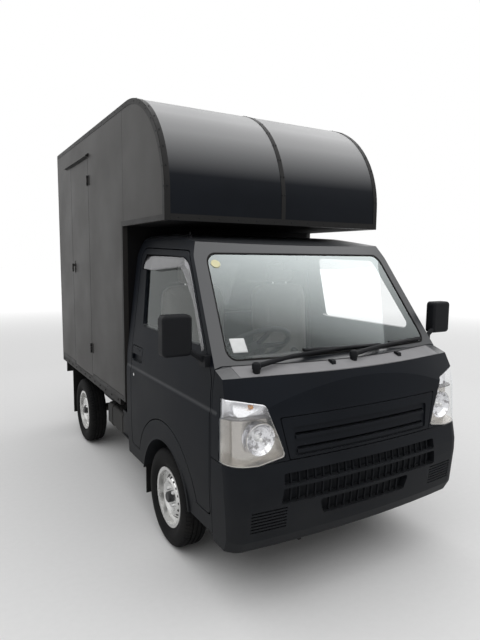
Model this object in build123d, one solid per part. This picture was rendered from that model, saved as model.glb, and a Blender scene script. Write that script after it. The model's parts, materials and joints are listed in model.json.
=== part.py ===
from build123d import *
import functools
import math
import os

# Kei truck with a tall box body whose rounded nose reaches over the cab.
# Millimetres. X+ is the truck's left, the truck faces -Y, Z is up from the ground.

os.makedirs("parts", exist_ok=True)

# Overall sizes
LENGTH = 3395.0
WIDTH = 1474.0
WHEELBASE = 1905.0
FRONT_OVERHANG = 810.0
FRONT_TRACK = 1305.0
REAR_TRACK = 1290.0
FRONT = -LENGTH / 2
REAR = LENGTH / 2
FRONT_AXLE = FRONT + FRONT_OVERHANG
REAR_AXLE = FRONT_AXLE + WHEELBASE
FAR = 4000.0

# Wheels, 145/80 R12 tyres on twelve-inch steel rims
TYRE_RADIUS = 268.0
TYRE_WIDTH = 145.0
TYRE_WALL = 12.0
RIM_WIDTH = 114.0
RIM_FLANGE = 165.0
BEAD_SEAT = 152.0
RIM_WELL = 128.0
BARREL_WALL = 5.0
DISC_OFFSET = 38.0
DISC_RADIUS = 125.0
HUB_BOLT_FACE = 66.0
HUB_CAP_RADIUS = 31.0
HUB_CAP_LENGTH = 26.0
RIM_HOLES = 16
RIM_HOLE_RADIUS = 8.5
RIM_HOLE_RING = 111.0
SPINDLE_RADIUS = 15.0
RUNNING_FIT = 0.05
SEAT_FIT = 0.5

# Front wheel carriers and rear axle
KINGPIN = 600.0
BALL_RADIUS = 9.0
PIN_FIT = 0.3
DRUM_RADIUS = 104.0
ARM_BOTTOM = 166.0
ARM_TOP = 190.0
STRUT_X = 540.0
STRUT_TOP = 556.0
AXLE_TUBE = 34.0
DIFF_RADIUS = 104.0
SPRING_X = 415.0
SPRING_HALF = 520.0
LEAF_WIDTH = 60.0

# Cab
CAB_REAR = -265.0
CAB_BOTTOM = 330.0
CAB_ROOF = 1730.0
CAB_HALF = WIDTH / 2 - 2.0
CAB_WALL = 38.0
ROOF_HALF = 652.0
BELT = 985.0
BELT_STEP = 6.0
LINE_TOP = 911.0
LINE_BOTTOM = 892.0
CORNER_RADIUS = 100.0
CORNER_DEPTH = 135.5
FACE_SETBACK = 16.0
FACE_LEAN = 0.07
BONNET_LEAN = 0.5
BONNET_HEIGHT = 1072.0
BONNET_EDGE = 56.0
BONNET_SWEEP = 142.0
SCREEN_LEAN = 0.73
SCREEN_FOOT = 1128.0
SCREEN_SETBACK = 188.5
SCREEN_SWEEP = 89.0
SEAM_HEIGHT = 897.0
COWL_HEIGHT = 1088.0
COWL_RISE = 0.36
COWL_CROWN = 62.0
COWL_AT = FRONT + 85.5
BULKHEAD = 22.0
PANEL_GAP = 4.0
HOUSING_DEPTH = 56.0
DOOR_GAP = 6.0
DOOR_FRONT = -1442.0
DOOR_REAR = -345.0
SILL = 410.0
ARCH_RADIUS = 322.0
ARCH_LIP = 12.0
ARCH_SEAM = 430.0
NOSE_END = -1456.0

# Bumper
BUMPER_TOP = 698.0
BUMPER_BOTTOM = 300.0
SHOULDER = 604.0
SHOULDER_LEAN = 0.2
CHIN = 545.0
CHIN_LEAN = 0.1
LIP = 356.0
LIP_LEAN = 0.55

# Cab floor and seats
FLOOR_LOW = 470.0
FLOOR_HIGH = 742.0
FLOOR_STEP = -1230.0
ENGINE_HATCH = 705.0
SEAT_X = 335.0
SEAT_WIDTH = 470.0
WHEEL_RADIUS = 182.0
WHEEL_GRIP = 14.0
COLUMN_TOP = (-335.0, -1180.0, 1130.0)
COLUMN_AXIS = (0.0, 0.6, 0.8)

# Box body
BOX_HALF = 735.0
BOX_FRONT = -237.0
BOX_REAR = REAR - 24.0
BOX_TOP = 2505.0
BOX_BOTTOM = 650.0
BOX_WALL = 30.0
ROOF_SKIN = 26.0
DECK = 620.0
RAIL_BOTTOM = 602.0
NOSE_FRONT = -934.0
NOSE_BOTTOM = 1780.0
NOSE_RADIUS = 595.0
NOSE_SEAM = -250.0
SEAM_GAP = 2.0
FIT_GAP = 0.5
SIDE_DOOR_FRONT = 580.0
SIDE_DOOR_REAR = 1147.0
SIDE_DOOR_TOP = 2326.0
LEAF_GAP = 5.0
REAR_FRAME = 29.5
REAR_POST = 42.0
REAR_HEADER = 90.0
TRIM_WIDTH = 30.0
TRIM_THICK = 2.0
HINGE_RADIUS = 7.0
HINGE_PIN = 3.0

# Chassis
RAIL_IN = 305.0
RAIL_OUT = 355.0
RAIL_LOW = 340.0
RAIL_TOP = 430.0
RAIL_WALL = 5.0
FRAME_FRONT = -1545.0
FRAME_REAR = 1622.0
SHAFT_RADIUS = 26.0
EXHAUST_X = 235.0
EXHAUST_Z = 316.0
TOW_EYE_RADIUS = 12.0
TOW_EYE_X = -330.0
TOW_EYE_PLATE = 16.0


# Shapes used again and again
def outline(corners):
    """Closed face from (u, v, radius) corners, each corner rounded by its radius."""
    count = len(corners)
    starts = []
    ends = []
    arcs = []
    for i, (u, v, radius) in enumerate(corners):
        here = Vector(u, v)
        back = (Vector(*corners[i - 1][:2]) - here).normalized()
        on = (Vector(*corners[(i + 1) % count][:2]) - here).normalized()
        if radius == 0:
            starts.append(here)
            ends.append(here)
            arcs.append(None)
            continue
        half = math.acos(max(-1.0, min(1.0, back.dot(on)))) / 2
        cut = radius / math.tan(half)
        bisector = (back + on).normalized()
        centre = here + bisector * (radius / math.sin(half))
        starts.append(here + back * cut)
        ends.append(here + on * cut)
        arcs.append(centre - bisector * radius)
    edges = []
    for i in range(count):
        if arcs[i] is not None:
            edges.append(ThreePointArc(starts[i], arcs[i], ends[i]))
        following = starts[(i + 1) % count]
        if (following - ends[i]).length > 0.001:
            edges.append(Line(ends[i], following))
    return make_face(edges)


def side_prism(face, x0, x1):
    """Face drawn as (y, z), carried from x0 to x1."""
    return extrude(Plane((x0, 0, 0), x_dir=(0, 1, 0), z_dir=(1, 0, 0)) * face, amount=x1 - x0)


def front_prism(face, y0, y1):
    """Face drawn as (x, z), carried from y0 to y1."""
    return extrude(Plane((0, y1, 0), x_dir=(1, 0, 0), z_dir=(0, -1, 0)) * face, amount=y1 - y0)


def block(x0, x1, y0, y1, z0, z1):
    return Pos((x0 + x1) / 2, (y0 + y1) / 2, (z0 + z1) / 2) * Box(
        abs(x1 - x0), abs(y1 - y0), abs(z1 - z0)
    )


def slab_y(y0, y1):
    """Everything between two cross planes."""
    return block(-FAR, FAR, y0, y1, -FAR, FAR)


def slab_z(z0, z1):
    """Everything between two heights."""
    return block(-FAR, FAR, -FAR, FAR, z0, z1)


def rod(start, end, radius):
    """Round bar between two points."""
    a = Vector(*start)
    b = Vector(*end)
    return extrude(Plane(a, z_dir=(b - a)) * Circle(radius), amount=(b - a).length)


def upright_rod(x, y, z0, z1, radius):
    return rod((x, y, z0), (x, y, z1), radius)


def ring_x(x, y, z, profile):
    """Solid of revolution about a line along X through (x, y, z), from (along, radius) points."""
    return Pos(x, y, z) * revolve(make_face(Polyline(*profile, close=True)), axis=Axis.X)


def ring_z(x, y, z, profile):
    """Solid of revolution about an upright line, from (radius, height) points."""
    face = Plane.XZ * make_face(Polyline(*profile, close=True))
    return Pos(x, y, z) * revolve(face, axis=Axis.Z)


def sided(shape, side):
    """The shape as drawn on the left for +1, mirrored to the right for -1."""
    return shape if side > 0 else mirror(shape, about=Plane.YZ)


def both(shape):
    """The shape drawn on the left and its mirror image on the right."""
    return [shape, sided(shape, -1)]


def joined(shapes):
    """One shape from a list of shapes."""
    first, *others = shapes
    return first.fuse(*others) if others else first


def loose(shapes):
    """A group of shapes that stay apart, to cut with or to cut at once."""
    solids = []
    for shape in shapes:
        solids.extend(shape.solids())
    return Compound(children=solids)


def save(name, *shapes):
    export_step(loose(shapes), "parts/" + name + ".step")


SIDES = (
    # sign of x, word
    (1, "left"),
    (-1, "right"),
)


# Cab hull, the outside of the cab moved inwards by an inset
def face_of(runs, squeeze):
    """Closed face from runs of two points, a line, or three points, an arc, with v divided by squeeze."""
    edges = []
    for run in runs:
        points = [(u, v / squeeze) for u, v in run]
        edges.append(Line(*points) if len(points) == 2 else ThreePointArc(*points))
    return make_face(edges)


def leaning_prism(runs, z_at, lean, z0, z1):
    """Plan given at height z_at, carried between two heights and moved back by lean per mm.

    It is drawn square to its own direction, so that its arcs make round walls.
    """
    place = Plane((0, 0, z_at), x_dir=(1, 0, 0), z_dir=(0, lean, 1))
    face = place * face_of(runs, math.hypot(1, lean))
    return extrude(face, amount=FAR, both=True) & slab_z(z0, z1)


def rising_prism(runs, y_at, rise):
    """Front view given at y_at, carried to both ends and raised by rise per mm."""
    place = Plane((0, y_at, 0), x_dir=(1, 0, 0), z_dir=(0, -1, -rise))
    return extrude(place * face_of(runs, math.hypot(1, rise)), amount=FAR, both=True)


def nose_plan(front_y, inset):
    """Plan of the cab front: a shallow arc between two tight corner arcs, moved in by inset."""
    radius = CORNER_RADIUS - inset
    corner_x = CAB_HALF + 1 - CORNER_RADIUS
    corner_y = front_y + CORNER_DEPTH
    start = math.radians(8)
    bend = math.radians(45)
    a = (corner_x + radius * math.sin(start), corner_y - radius * math.cos(start))
    b = (corner_x + radius * math.sin(bend), corner_y - radius * math.cos(bend))
    c = (corner_x + radius, corner_y)
    d = (corner_x + radius + 30, 0)
    return [
        ((-a[0], a[1]), (0, front_y + inset), a),
        (a, b, c),
        (c, d),
        (d, (-d[0], d[1])),
        ((-d[0], d[1]), (-c[0], c[1])),
        ((-c[0], c[1]), (-b[0], b[1]), (-a[0], a[1])),
    ]


def swept_plan(middle, edge, half):
    """Plan behind one wide arc from (-half, edge) through (0, middle) to (half, edge)."""
    back = 900
    return [
        ((-half, edge), (0, middle), (half, edge)),
        ((half, edge), (half, back)),
        ((half, back), (-half, back)),
        ((-half, back), (-half, edge)),
    ]


def moved_back(runs, shift):
    return [[(u, v + shift) for u, v in run] for run in runs]


@functools.lru_cache(maxsize=None)
def cab_sides(inset):
    """Cab in front view: sides that lean in above the belt, with a line pressed along the doors."""
    right = [
        (CAB_HALF - 12 - inset, BUMPER_BOTTOM - 10, 0),
        (CAB_HALF - inset, 560, 400),
        (CAB_HALF - inset, LINE_BOTTOM, 0),
        (CAB_HALF - BELT_STEP - inset, LINE_TOP, 0),
        (CAB_HALF - BELT_STEP - inset, BELT, 400),
        (ROOF_HALF - inset, 1600, 120),
        (ROOF_HALF - 50 - inset, CAB_ROOF - 12 - inset, 60),
    ]
    left = [(-x, z, radius) for x, z, radius in reversed(right)]
    return front_prism(outline(right + [(0, CAB_ROOF + 10 - inset, 0)] + left), FRONT - 100, 200)


@functools.lru_cache(maxsize=None)
def cab_profile(inset):
    """Cab in side view: upright rear wall and a roof that falls towards the windscreen."""
    corners = [
        (CAB_REAR - inset, BUMPER_BOTTOM - 10, 0),
        (CAB_REAR - inset - 8, CAB_ROOF - 14 - inset, 75),
        (-640, CAB_ROOF - inset, 900),
        (-1070, CAB_ROOF - 62 - inset, 0),
        (FRONT - 100, CAB_ROOF - 190 - inset, 0),
        (FRONT - 100, BUMPER_BOTTOM - 10, 0),
    ]
    return side_prism(outline(corners), -900, 900)


@functools.lru_cache(maxsize=None)
def cab_body(inset):
    return cab_profile(inset) & cab_sides(inset)


@functools.lru_cache(maxsize=None)
def screen_hull(inset):
    """Everything behind the leaning windscreen face."""
    middle = FRONT + SCREEN_SETBACK + inset * math.hypot(1, SCREEN_LEAN)
    plan = swept_plan(middle, middle + SCREEN_SWEEP, 760)
    prism = leaning_prism(plan, SCREEN_FOOT, SCREEN_LEAN, 1050 - inset, CAB_ROOF + 100)
    return prism & cab_body(inset)


@functools.lru_cache(maxsize=None)
def nose_hull(inset):
    """Nose below the windscreen: upright face, leaning bonnet and the cowl's sloping lid."""
    low = BUMPER_BOTTOM - 10
    face = leaning_prism(nose_plan(FRONT + FACE_SETBACK, inset), BUMPER_TOP, FACE_LEAN, low, 1300)
    middle = FRONT + BONNET_EDGE + inset * math.hypot(1, BONNET_LEAN)
    swept = swept_plan(middle, middle + BONNET_SWEEP, 800)
    bonnet = leaning_prism(swept, BONNET_HEIGHT, BONNET_LEAN, low, 1300)
    top = COWL_HEIGHT - inset
    side = top - COWL_CROWN
    crown = [
        ((-800, side), (0, top), (800, side)),
        ((800, side), (800, -900)),
        ((800, -900), (-800, -900)),
        ((-800, -900), (-800, side)),
    ]
    return face & bonnet & rising_prism(crown, COWL_AT, COWL_RISE) & cab_body(inset)


@functools.lru_cache(maxsize=None)
def bumper_hull(inset):
    """Bumper, a little in front of the nose: leaning shoulder, upright face, chin and lip."""
    plan = nose_plan(FRONT, inset)
    low = BUMPER_BOTTOM - 10
    shoulder = leaning_prism(plan, SHOULDER, SHOULDER_LEAN, low, BUMPER_TOP)
    chin = leaning_prism(plan, CHIN, -CHIN_LEAN, low, BUMPER_TOP)
    tucked = moved_back(plan, (CHIN - LIP) * CHIN_LEAN)
    lip = leaning_prism(tucked, LIP, -LIP_LEAN, low, BUMPER_TOP)
    upright = leaning_prism(plan, SHOULDER, 0, low, BUMPER_TOP)
    return upright & shoulder & chin & lip & cab_sides(inset)


@functools.lru_cache(maxsize=None)
def cab_hull(inset):
    return nose_hull(inset) + screen_hull(inset)


def shell(hull_of, outer, inner):
    """Wall of a hull between two insets."""
    return hull_of(outer) - hull_of(inner)


# Outlines of doors, windows and lamps, each used for the piece and for its opening
def door_outline(gap):
    """Cab door seen from the side, shrunk by gap, its foot following the wheel arch."""
    body = outline(
        [
            (DOOR_FRONT + gap, SILL + gap, 25),
            (DOOR_FRONT + gap, 1050 - gap * 0.4, 120),
            (-1040 + gap, 1628 - gap, 60),
            (DOOR_REAR - 7 - gap, 1650 - gap, 50),
            (DOOR_REAR - gap, SILL + gap, 25),
        ]
    )
    return body - Pos(FRONT_AXLE, TYRE_RADIUS) * Circle(ARCH_SEAM + gap)


def window_outline(gap):
    return outline(
        [
            (-1318 + gap * 1.5, 1180 + gap, 30),
            (-1026 + gap, 1578 - gap, 50),
            (-448 - gap, 1592 - gap, 40),
            (-500 - gap, 1180 + gap, 30),
        ]
    )


def mirrored_outline(corners):
    """Symmetric face from its left-hand (x, z, radius) corners, lowest first."""
    right = [(-x, z, radius) for x, z, radius in reversed(corners)]
    return outline(list(corners) + right)


def screen_outline(gap):
    return mirrored_outline([(648 - gap, 1124 + gap, 45), (590 - gap, 1616 - gap, 60)])


def rear_window_outline(gap):
    return mirrored_outline([(480 - gap, 1215 + gap, 40), (455 - gap, 1560 - gap, 50)])


LAMP_CORNERS = (
    # x, z, radius
    (790, 702, 0),
    (600, 692, 30),
    (462, 716, 16),
    (492, 800, 200),
    (560, 962, 14),
    (790, 1004, 0),
)
LAMP_SPLIT = 560.0
LAMP_REAR = -1528.0


def lamp_zone(gap):
    """Left headlamp's opening, cut straight back through the nose."""
    points = []
    for x, z, radius in LAMP_CORNERS:
        inward = gap if x < LAMP_SPLIT else 0
        rise = gap if z < 850 else -gap
        points.append((x + inward, z + rise, radius))
    return front_prism(outline(points), FRONT - 100, LAMP_REAR - gap)


def grille_zone(gap):
    corners = [(448 - gap, BUMPER_TOP + 2 + gap, 8), (494 - gap * 1.4, SEAM_HEIGHT - gap, 8)]
    return front_prism(mirrored_outline(corners), FRONT - 100, FRONT + 100)


def nose_pocket(corners, y_back):
    """Symmetric pocket in the nose from its left-hand corners."""
    return front_prism(mirrored_outline(corners), FRONT - 100, y_back)


screen_zone = front_prism(screen_outline(0), FRONT - 100, -1010)
rear_window_zone = front_prism(rear_window_outline(0), CAB_REAR - 80, CAB_REAR + 60)
door_zones = side_prism(door_outline(0), -800, -560) + side_prism(door_outline(0), 560, 800)
lamp_zones = loose(both(lamp_zone(0)))

hull = cab_hull(0)
hull_inside = cab_hull(CAB_WALL)
skin = hull - hull_inside

# Cab shell: skin, stepped floor, seat riser and bulkhead, with every opening cut
upper_wall = shell(cab_hull, CAB_WALL, CAB_WALL + BULKHEAD) & slab_z(BUMPER_TOP, SCREEN_FOOT - 33)
lower_wall = shell(bumper_hull, CAB_WALL + FIT_GAP, CAB_WALL + BULKHEAD + FACE_SETBACK)
lower_wall = lower_wall & slab_z(CAB_BOTTOM, BUMPER_TOP)
lamp_room = lamp_zone(0) - cab_hull(HOUSING_DEPTH)
firewall = (upper_wall + lower_wall) & slab_y(FRONT - 100, NOSE_END + 6)
firewall = firewall - loose(both(lamp_room))
outer_skin = skin - block(-FAR, FAR, -FAR, NOSE_END + 4, -FAR, COWL_HEIGHT + 20)
floor_face = outline(
    [
        (-1650, CAB_BOTTOM + 60, 0),
        (-1650, FLOOR_LOW, 0),
        (FLOOR_STEP, FLOOR_LOW, 30),
        (FLOOR_STEP, FLOOR_HIGH, 30),
        (CAB_REAR - 20, FLOOR_HIGH, 0),
        (CAB_REAR - 20, CAB_BOTTOM, 0),
        (-1450, CAB_BOTTOM, 0),
    ]
)
bumper_room = shell(bumper_hull, 0, CAB_WALL + FIT_GAP) & slab_y(-FAR, NOSE_END)
floor_solid = (side_prism(floor_face, -800, 800) & hull_inside) - bumper_room
UNDERSIDE_ROOMS = (
    # x inner, x outer, y front, y rear, z top
    (-375.0, 375.0, FLOOR_STEP + 35, CAB_REAR + 10, ENGINE_HATCH),
    (-372.0, 372.0, -1620.0, FLOOR_STEP + 40, FLOOR_LOW - 29),
    (410.0, 690.0, -535.0, CAB_REAR - 45, ENGINE_HATCH),
    (-690.0, -410.0, -535.0, CAB_REAR - 45, ENGINE_HATCH),
    (402.0, 690.0, -1600.0, -1255.0, FLOOR_LOW - 29),
    (-690.0, -402.0, -1600.0, -1255.0, FLOOR_LOW - 29),
)
rooms = [block(x0, x1, y0, y1, 200, z1) for x0, x1, y0, y1, z1 in UNDERSIDE_ROOMS]
wheel_room = rod((405, FRONT_AXLE, TYRE_RADIUS), (900, FRONT_AXLE, TYRE_RADIUS), ARCH_RADIUS)
lip_ring = ring_x(
    CAB_HALF - 30,
    FRONT_AXLE,
    TYRE_RADIUS,
    [(0, ARCH_RADIUS), (0, ARCH_RADIUS + ARCH_LIP), (30, ARCH_RADIUS + ARCH_LIP), (32, ARCH_RADIUS)],
) & block(0, FAR, -FAR, FAR, CAB_BOTTOM, FAR)
cab_shell = (outer_skin + firewall + floor_solid) & slab_z(CAB_BOTTOM, FAR)
cab_shell = cab_shell - (door_zones & slab_z(SILL, FAR)) - joined(rooms + both(wheel_room))
cab_shell = cab_shell - screen_zone - rear_window_zone
cab_shell = cab_shell + lip_ring + sided(lip_ring, -1)
save("cab_shell", cab_shell)

# Front panel with the bonnet, then the cowl above it, split along the bonnet's rear edge
nose_skin = shell(cab_hull, 0, CAB_WALL) & block(
    -FAR, FAR, -FAR, NOSE_END, BUMPER_TOP + PANEL_GAP, COWL_HEIGHT + 16
)
COWL_EDGE_MIDDLE = FRONT + BONNET_EDGE + 1.0
COWL_EDGE_SIDE = COWL_EDGE_MIDDLE + 90.0


def cowl_zone(gap):
    """Plan region of the cowl, behind a shallow arc, shrunk by gap."""
    plan = swept_plan(COWL_EDGE_MIDDLE + gap, COWL_EDGE_SIDE + gap, 640 - gap)
    return leaning_prism(plan, 0, 0, 1000, 1200)


front_panel = nose_skin - lamp_zones - grille_zone(0) - cowl_zone(0)
save("front_panel", front_panel)
save("cowl", nose_skin & cowl_zone(PANEL_GAP / 2))

# Grille: a shallow recess with two slots, each over its own rail
RECESS_DEPTH = 9.0
SLOT_HEIGHT = 12.0
RAIL_HEIGHT = 15.0
GRILLE_SLOTS = (
    # z of the slot's middle, half width
    (748.0, 404.0),
    (812.0, 412.0),
)
grille = nose_skin & grille_zone(PANEL_GAP)
pocket = nose_pocket([(418, BUMPER_TOP + 18, 16), (428, 846, 16)], FRONT + 150)
grille = grille - (pocket - nose_hull(RECESS_DEPTH))
slots = []
rails = []
for z, half in GRILLE_SLOTS:
    slots.append(nose_pocket([(half, z - SLOT_HEIGHT / 2, 5), (half, z + SLOT_HEIGHT / 2, 5)], FRONT + 150))
    low = z - SLOT_HEIGHT / 2 - RAIL_HEIGHT
    rails.append(nose_pocket([(half, low, 4), (half, z - SLOT_HEIGHT / 2, 4)], FRONT + 150))
grille = grille - loose(slots)
grille = grille + (loose(rails) & shell(nose_hull, 1, RECESS_DEPTH + 1))
save("grille", grille)

# Bumper: a wide upper opening with a bar and ribs, a lower opening, louvred blanks at the corners
bumper = shell(bumper_hull, 0, CAB_WALL) & block(
    -FAR, FAR, -FAR, NOSE_END, BUMPER_BOTTOM, BUMPER_TOP
)
BUMPER_OPENINGS = (
    # half width below, half width above, z bottom, z top, corner radius
    (484.0, 480.0, 592.0, 646.0, 10.0),
    (496.0, 486.0, 508.0, 580.0, 10.0),
    (262.0, 288.0, 418.0, 492.0, 14.0),
)
openings = []
for below, above, z0, z1, radius in BUMPER_OPENINGS:
    openings.append(nose_pocket([(below, z0, radius), (above, z1, radius)], FRONT + 150))
bumper = bumper - loose(openings)
RIB_PITCH = 44.0
RIB_WIDTH = 5.0
rib_rows = (
    # count each side, z bottom, z top
    (10, 500.0, 660.0),
    (5, 410.0, 500.0),
)
ribs = []
for count, z0, z1 in rib_rows:
    for i in range(-count, count + 1):
        x = i * RIB_PITCH
        ribs.append(block(x - RIB_WIDTH / 2, x + RIB_WIDTH / 2, FRONT, FRONT + 100, z0, z1))
bumper = bumper + (loose(ribs) & shell(bumper_hull, 14, 26))
LOUVRES = 7
LOUVRE_PITCH = 15.0
louvres = []
for i in range(LOUVRES):
    z = 396 + i * LOUVRE_PITCH
    for side in (1, -1):
        louvres.append(block(side * 462, side * 640, FRONT - 50, FRONT + 120, z, z + 7))
bumper = bumper - (loose(louvres) - bumper_hull(9))
bumper = bumper - lamp_zones
save("front_bumper", bumper)

# Headlamps: a housing with a shelf and a round reflector under a clear cover
COVER_OUT = 1.0
COVER_IN = 5.0
HOUSING_WALL = 4.0
SHELF = 899.0
REFLECTOR_X = 580.0
REFLECTOR_Z = 806.0
REFLECTOR_RADIUS = 70.0
REFLECTOR_FRONT = FRONT + 66.0
cover = shell(cab_hull, COVER_OUT, COVER_IN) & lamp_zone(PANEL_GAP)
housing = shell(cab_hull, COVER_IN + FIT_GAP, HOUSING_DEPTH) & lamp_zone(PANEL_GAP)
back_wall = cab_hull(HOUSING_DEPTH - HOUSING_WALL)
housing = housing - (lamp_zone(PANEL_GAP + HOUSING_WALL) - back_wall)
shelf = shell(cab_hull, 16, HOUSING_DEPTH - HOUSING_WALL / 2) & lamp_zone(PANEL_GAP + 1)
shelf = shelf & slab_z(SHELF - HOUSING_WALL / 2, SHELF + HOUSING_WALL / 2)
dish = ring_z(
    0,
    0,
    0,
    [
        (0, 34),
        (30, 30),
        (54, 19),
        (REFLECTOR_RADIUS, 0),
        (REFLECTOR_RADIUS + 4, 0),
        (REFLECTOR_RADIUS + 4, 6),
        (56, 25),
        (32, 36),
        (0, 42),
    ],
)
dish_place = Plane((REFLECTOR_X, REFLECTOR_FRONT, REFLECTOR_Z), x_dir=(1, 0, 0), z_dir=(0, 1, 0))
stem = rod(
    (REFLECTOR_X, REFLECTOR_FRONT + 38, REFLECTOR_Z), (REFLECTOR_X, REFLECTOR_FRONT + 90, REFLECTOR_Z), 18
)
stem = stem & cab_hull(30) - cab_hull(HOUSING_DEPTH - HOUSING_WALL / 2)
bowl = dish_place * dish & cab_hull(COVER_IN + 4)
housing = housing + shelf + bowl + stem
save("headlamp_lenses", *both(cover))
save("headlamp_bowls", *both(housing))

# Glass and its seals
SEAL_OUT = 0.5
SEAL_IN = 14.0
SEAL_WIDTH = 6.8
GLASS_OUT = 4.0
GLASS_THICK = 6.0
PANE_OUT = 14.0
PANE_THICK = 4.0
FIT = 0.3


def ring_face(outline_of):
    """Face of a seal around a window."""
    return outline_of(FIT) - outline_of(SEAL_WIDTH)


screen_seal = shell(screen_hull, SEAL_OUT, SEAL_IN) & front_prism(ring_face(screen_outline), FRONT, -1010)
screen_glass = shell(screen_hull, GLASS_OUT, GLASS_OUT + GLASS_THICK) & front_prism(
    screen_outline(SEAL_WIDTH + FIT), FRONT, -1010
)
rear_glass = front_prism(rear_window_outline(SEAL_WIDTH + FIT), CAB_REAR - 15, CAB_REAR - 10)
rear_seal = front_prism(ring_face(rear_window_outline), CAB_REAR - 30, CAB_REAR - 2)
save("windscreen", screen_glass)
save("cab_rear_glass", rear_glass)
save("glass_seals", screen_seal, rear_seal)

# Cab doors with their glass and mirrors, drawn on the left
RECESS_FLOOR = CAB_HALF - BELT_STEP - 18.0
handle_recess = side_prism(
    outline([(-542, 955, 18), (-542, 1052, 18), (-364, 1052, 18), (-364, 955, 18)]), RECESS_FLOOR, 800
)
grip_face = outline([(-537, 1000, 12), (-537, 1047, 12), (-369, 1047, 12), (-369, 1000, 12)])
grip = shell(cab_sides, 0, 6) & side_prism(grip_face, 560, 800)
grip = grip + block(RECESS_FLOOR - 2, CAB_HALF - BELT_STEP - 4, -490, -416, 1014, 1034)
lock = rod((CAB_HALF - 20, -412, 870), (CAB_HALF + 1.5, -412, 870), 10)
door = (shell(cab_sides, 0, CAB_WALL) & cab_profile(0)) & side_prism(door_outline(DOOR_GAP), 540, 800)
door = door - side_prism(window_outline(0), 500, 800)
door = door - handle_recess + grip + lock
pane = shell(cab_sides, PANE_OUT, PANE_OUT + PANE_THICK) & side_prism(window_outline(FIT), 500, 800)
MIRROR_X = CAB_HALF + 125.0
MIRROR_Y = -1356.0
MIRROR_Z = 1246.0
mirror_foot = block(CAB_HALF - 45, CAB_HALF + 4, -1404, -1340, 1100, 1150) - cab_sides(0)
mirror_arm = rod((CAB_HALF - 6, -1372, 1125), (CAB_HALF + 70, -1368, 1178), 13) - cab_sides(0)
mirror_head = Pos(MIRROR_X, MIRROR_Y, MIRROR_Z) * Box(142, 58, 186)
mirror_head = fillet(mirror_head.edges().filter_by(Axis.Y), 22)
mirror_head = fillet(mirror_head.faces().sort_by(Axis.Y)[0].edges(), 16)
mirror_hollow = Pos(MIRROR_X, MIRROR_Y + 29, MIRROR_Z) * Box(124, 8, 168)
mirror_head = mirror_head - fillet(mirror_hollow.edges().filter_by(Axis.Y), 14)
door_mirror = mirror_foot + mirror_arm + mirror_head
for side, word in SIDES:
    save("cab_door_" + word, sided(door, side))
    save("door_glass_" + word, sided(pane, side))
    save("mirror_" + word, sided(door_mirror, side))

# Dashboard with its instrument hood, seats and steering wheel
dash_face = outline(
    [
        (-1590, 800, 30),
        (-1580, 1052, 20),
        (-1440, 1096, 40),
        (-1330, 1070, 40),
        (-1318, 960, 40),
        (-1392, 800, 30),
    ]
)
hood_face = outline([(-1470, 1040, 0), (-1440, 1128, 20), (-1330, 1118, 16), (-1322, 1040, 0)])
dashboard = side_prism(dash_face, -640, 640) + side_prism(hood_face, COLUMN_TOP[0] - 150, COLUMN_TOP[0] + 150)
dashboard = dashboard & cab_hull(CAB_WALL + BULKHEAD + 6)
save("dashboard", dashboard)

cushion_face = outline([(-935, FLOOR_HIGH, 10), (-940, 850, 40), (-700, 868, 0), (-470, 846, 20), (-470, FLOOR_HIGH, 0)])
back_face = outline(
    [
        (-466, FLOOR_HIGH, 0),
        (-466, 858, 0),
        (-518, 880, 25),
        (-470, 1420, 40),
        (-350, 1425, 40),
        (-380, FLOOR_HIGH, 0),
    ]
)
head_face = outline([(-462, 1400, 0), (-448, 1560, 30), (-372, 1562, 30), (-362, 1400, 0)])
seat_shapes = []
for side, word in SIDES:
    x = side * SEAT_X
    cushion = side_prism(cushion_face, x - SEAT_WIDTH / 2, x + SEAT_WIDTH / 2)
    backrest = side_prism(back_face, x - SEAT_WIDTH / 2 + 10, x + SEAT_WIDTH / 2 - 10)
    seat_shapes.append(cushion)
    seat_shapes.append(backrest + side_prism(head_face, x - 105, x + 105))
save("seats", *seat_shapes)

wheel_place = Plane(COLUMN_TOP, x_dir=(1, 0, 0), z_dir=COLUMN_AXIS)
wheel_ring = wheel_place * Torus(WHEEL_RADIUS, WHEEL_GRIP)
boss = wheel_place * (Pos(0, 0, -14) * Cylinder(48, 44))
spokes = wheel_place * (Pos(0, -6, -4) * Box(350, 34, 12) + Pos(0, -92, -4) * Box(30, 160, 12))
spokes = spokes & (wheel_place * Cylinder(WHEEL_RADIUS, 60))
column_start = Vector(*COLUMN_TOP) - Vector(*COLUMN_AXIS) * 30
column_end = Vector(*COLUMN_TOP) - Vector(*COLUMN_AXIS) * 180
column = rod(tuple(column_start), tuple(column_end), 16)
dash_room = outline([(-1590, 700, 0), (-1590, 1134, 0), (-1297, 1134, 0), (-1297, 700, 0)])
save("steering_wheel", (wheel_ring + boss + spokes + column) - side_prism(dash_room, -640, 640))

# Wipers parked along the foot of the glass, and washer jets on the cowl
BLADE_LIFT = GLASS_OUT - FIT
BLADE_TOP = -6.0
BLADE_WIDTH = 13.0
WIPERS = (
    # pivot x, pivot y, elbow x, elbow z, blade start x, start z, end x, end z
    (-551.0, -1538.0, -330.0, 1140.0, -250.0, 1152.0, 245.0, 1144.0),
    (-12.0, -1574.0, 190.0, 1142.0, 330.0, 1146.0, 604.0, 1145.0),
)


def screen_point(x, z, lift):
    """Point on the windscreen face, moved out by lift."""
    y = FRONT + SCREEN_SETBACK + SCREEN_SWEEP * (x / 760) ** 2 + (z - SCREEN_FOOT) * SCREEN_LEAN
    return (x, y - lift * math.hypot(1, SCREEN_LEAN), z)


def cowl_height(x, y):
    return COWL_HEIGHT + (y - COWL_AT) * COWL_RISE - COWL_CROWN * (x / 800) ** 2


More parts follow.
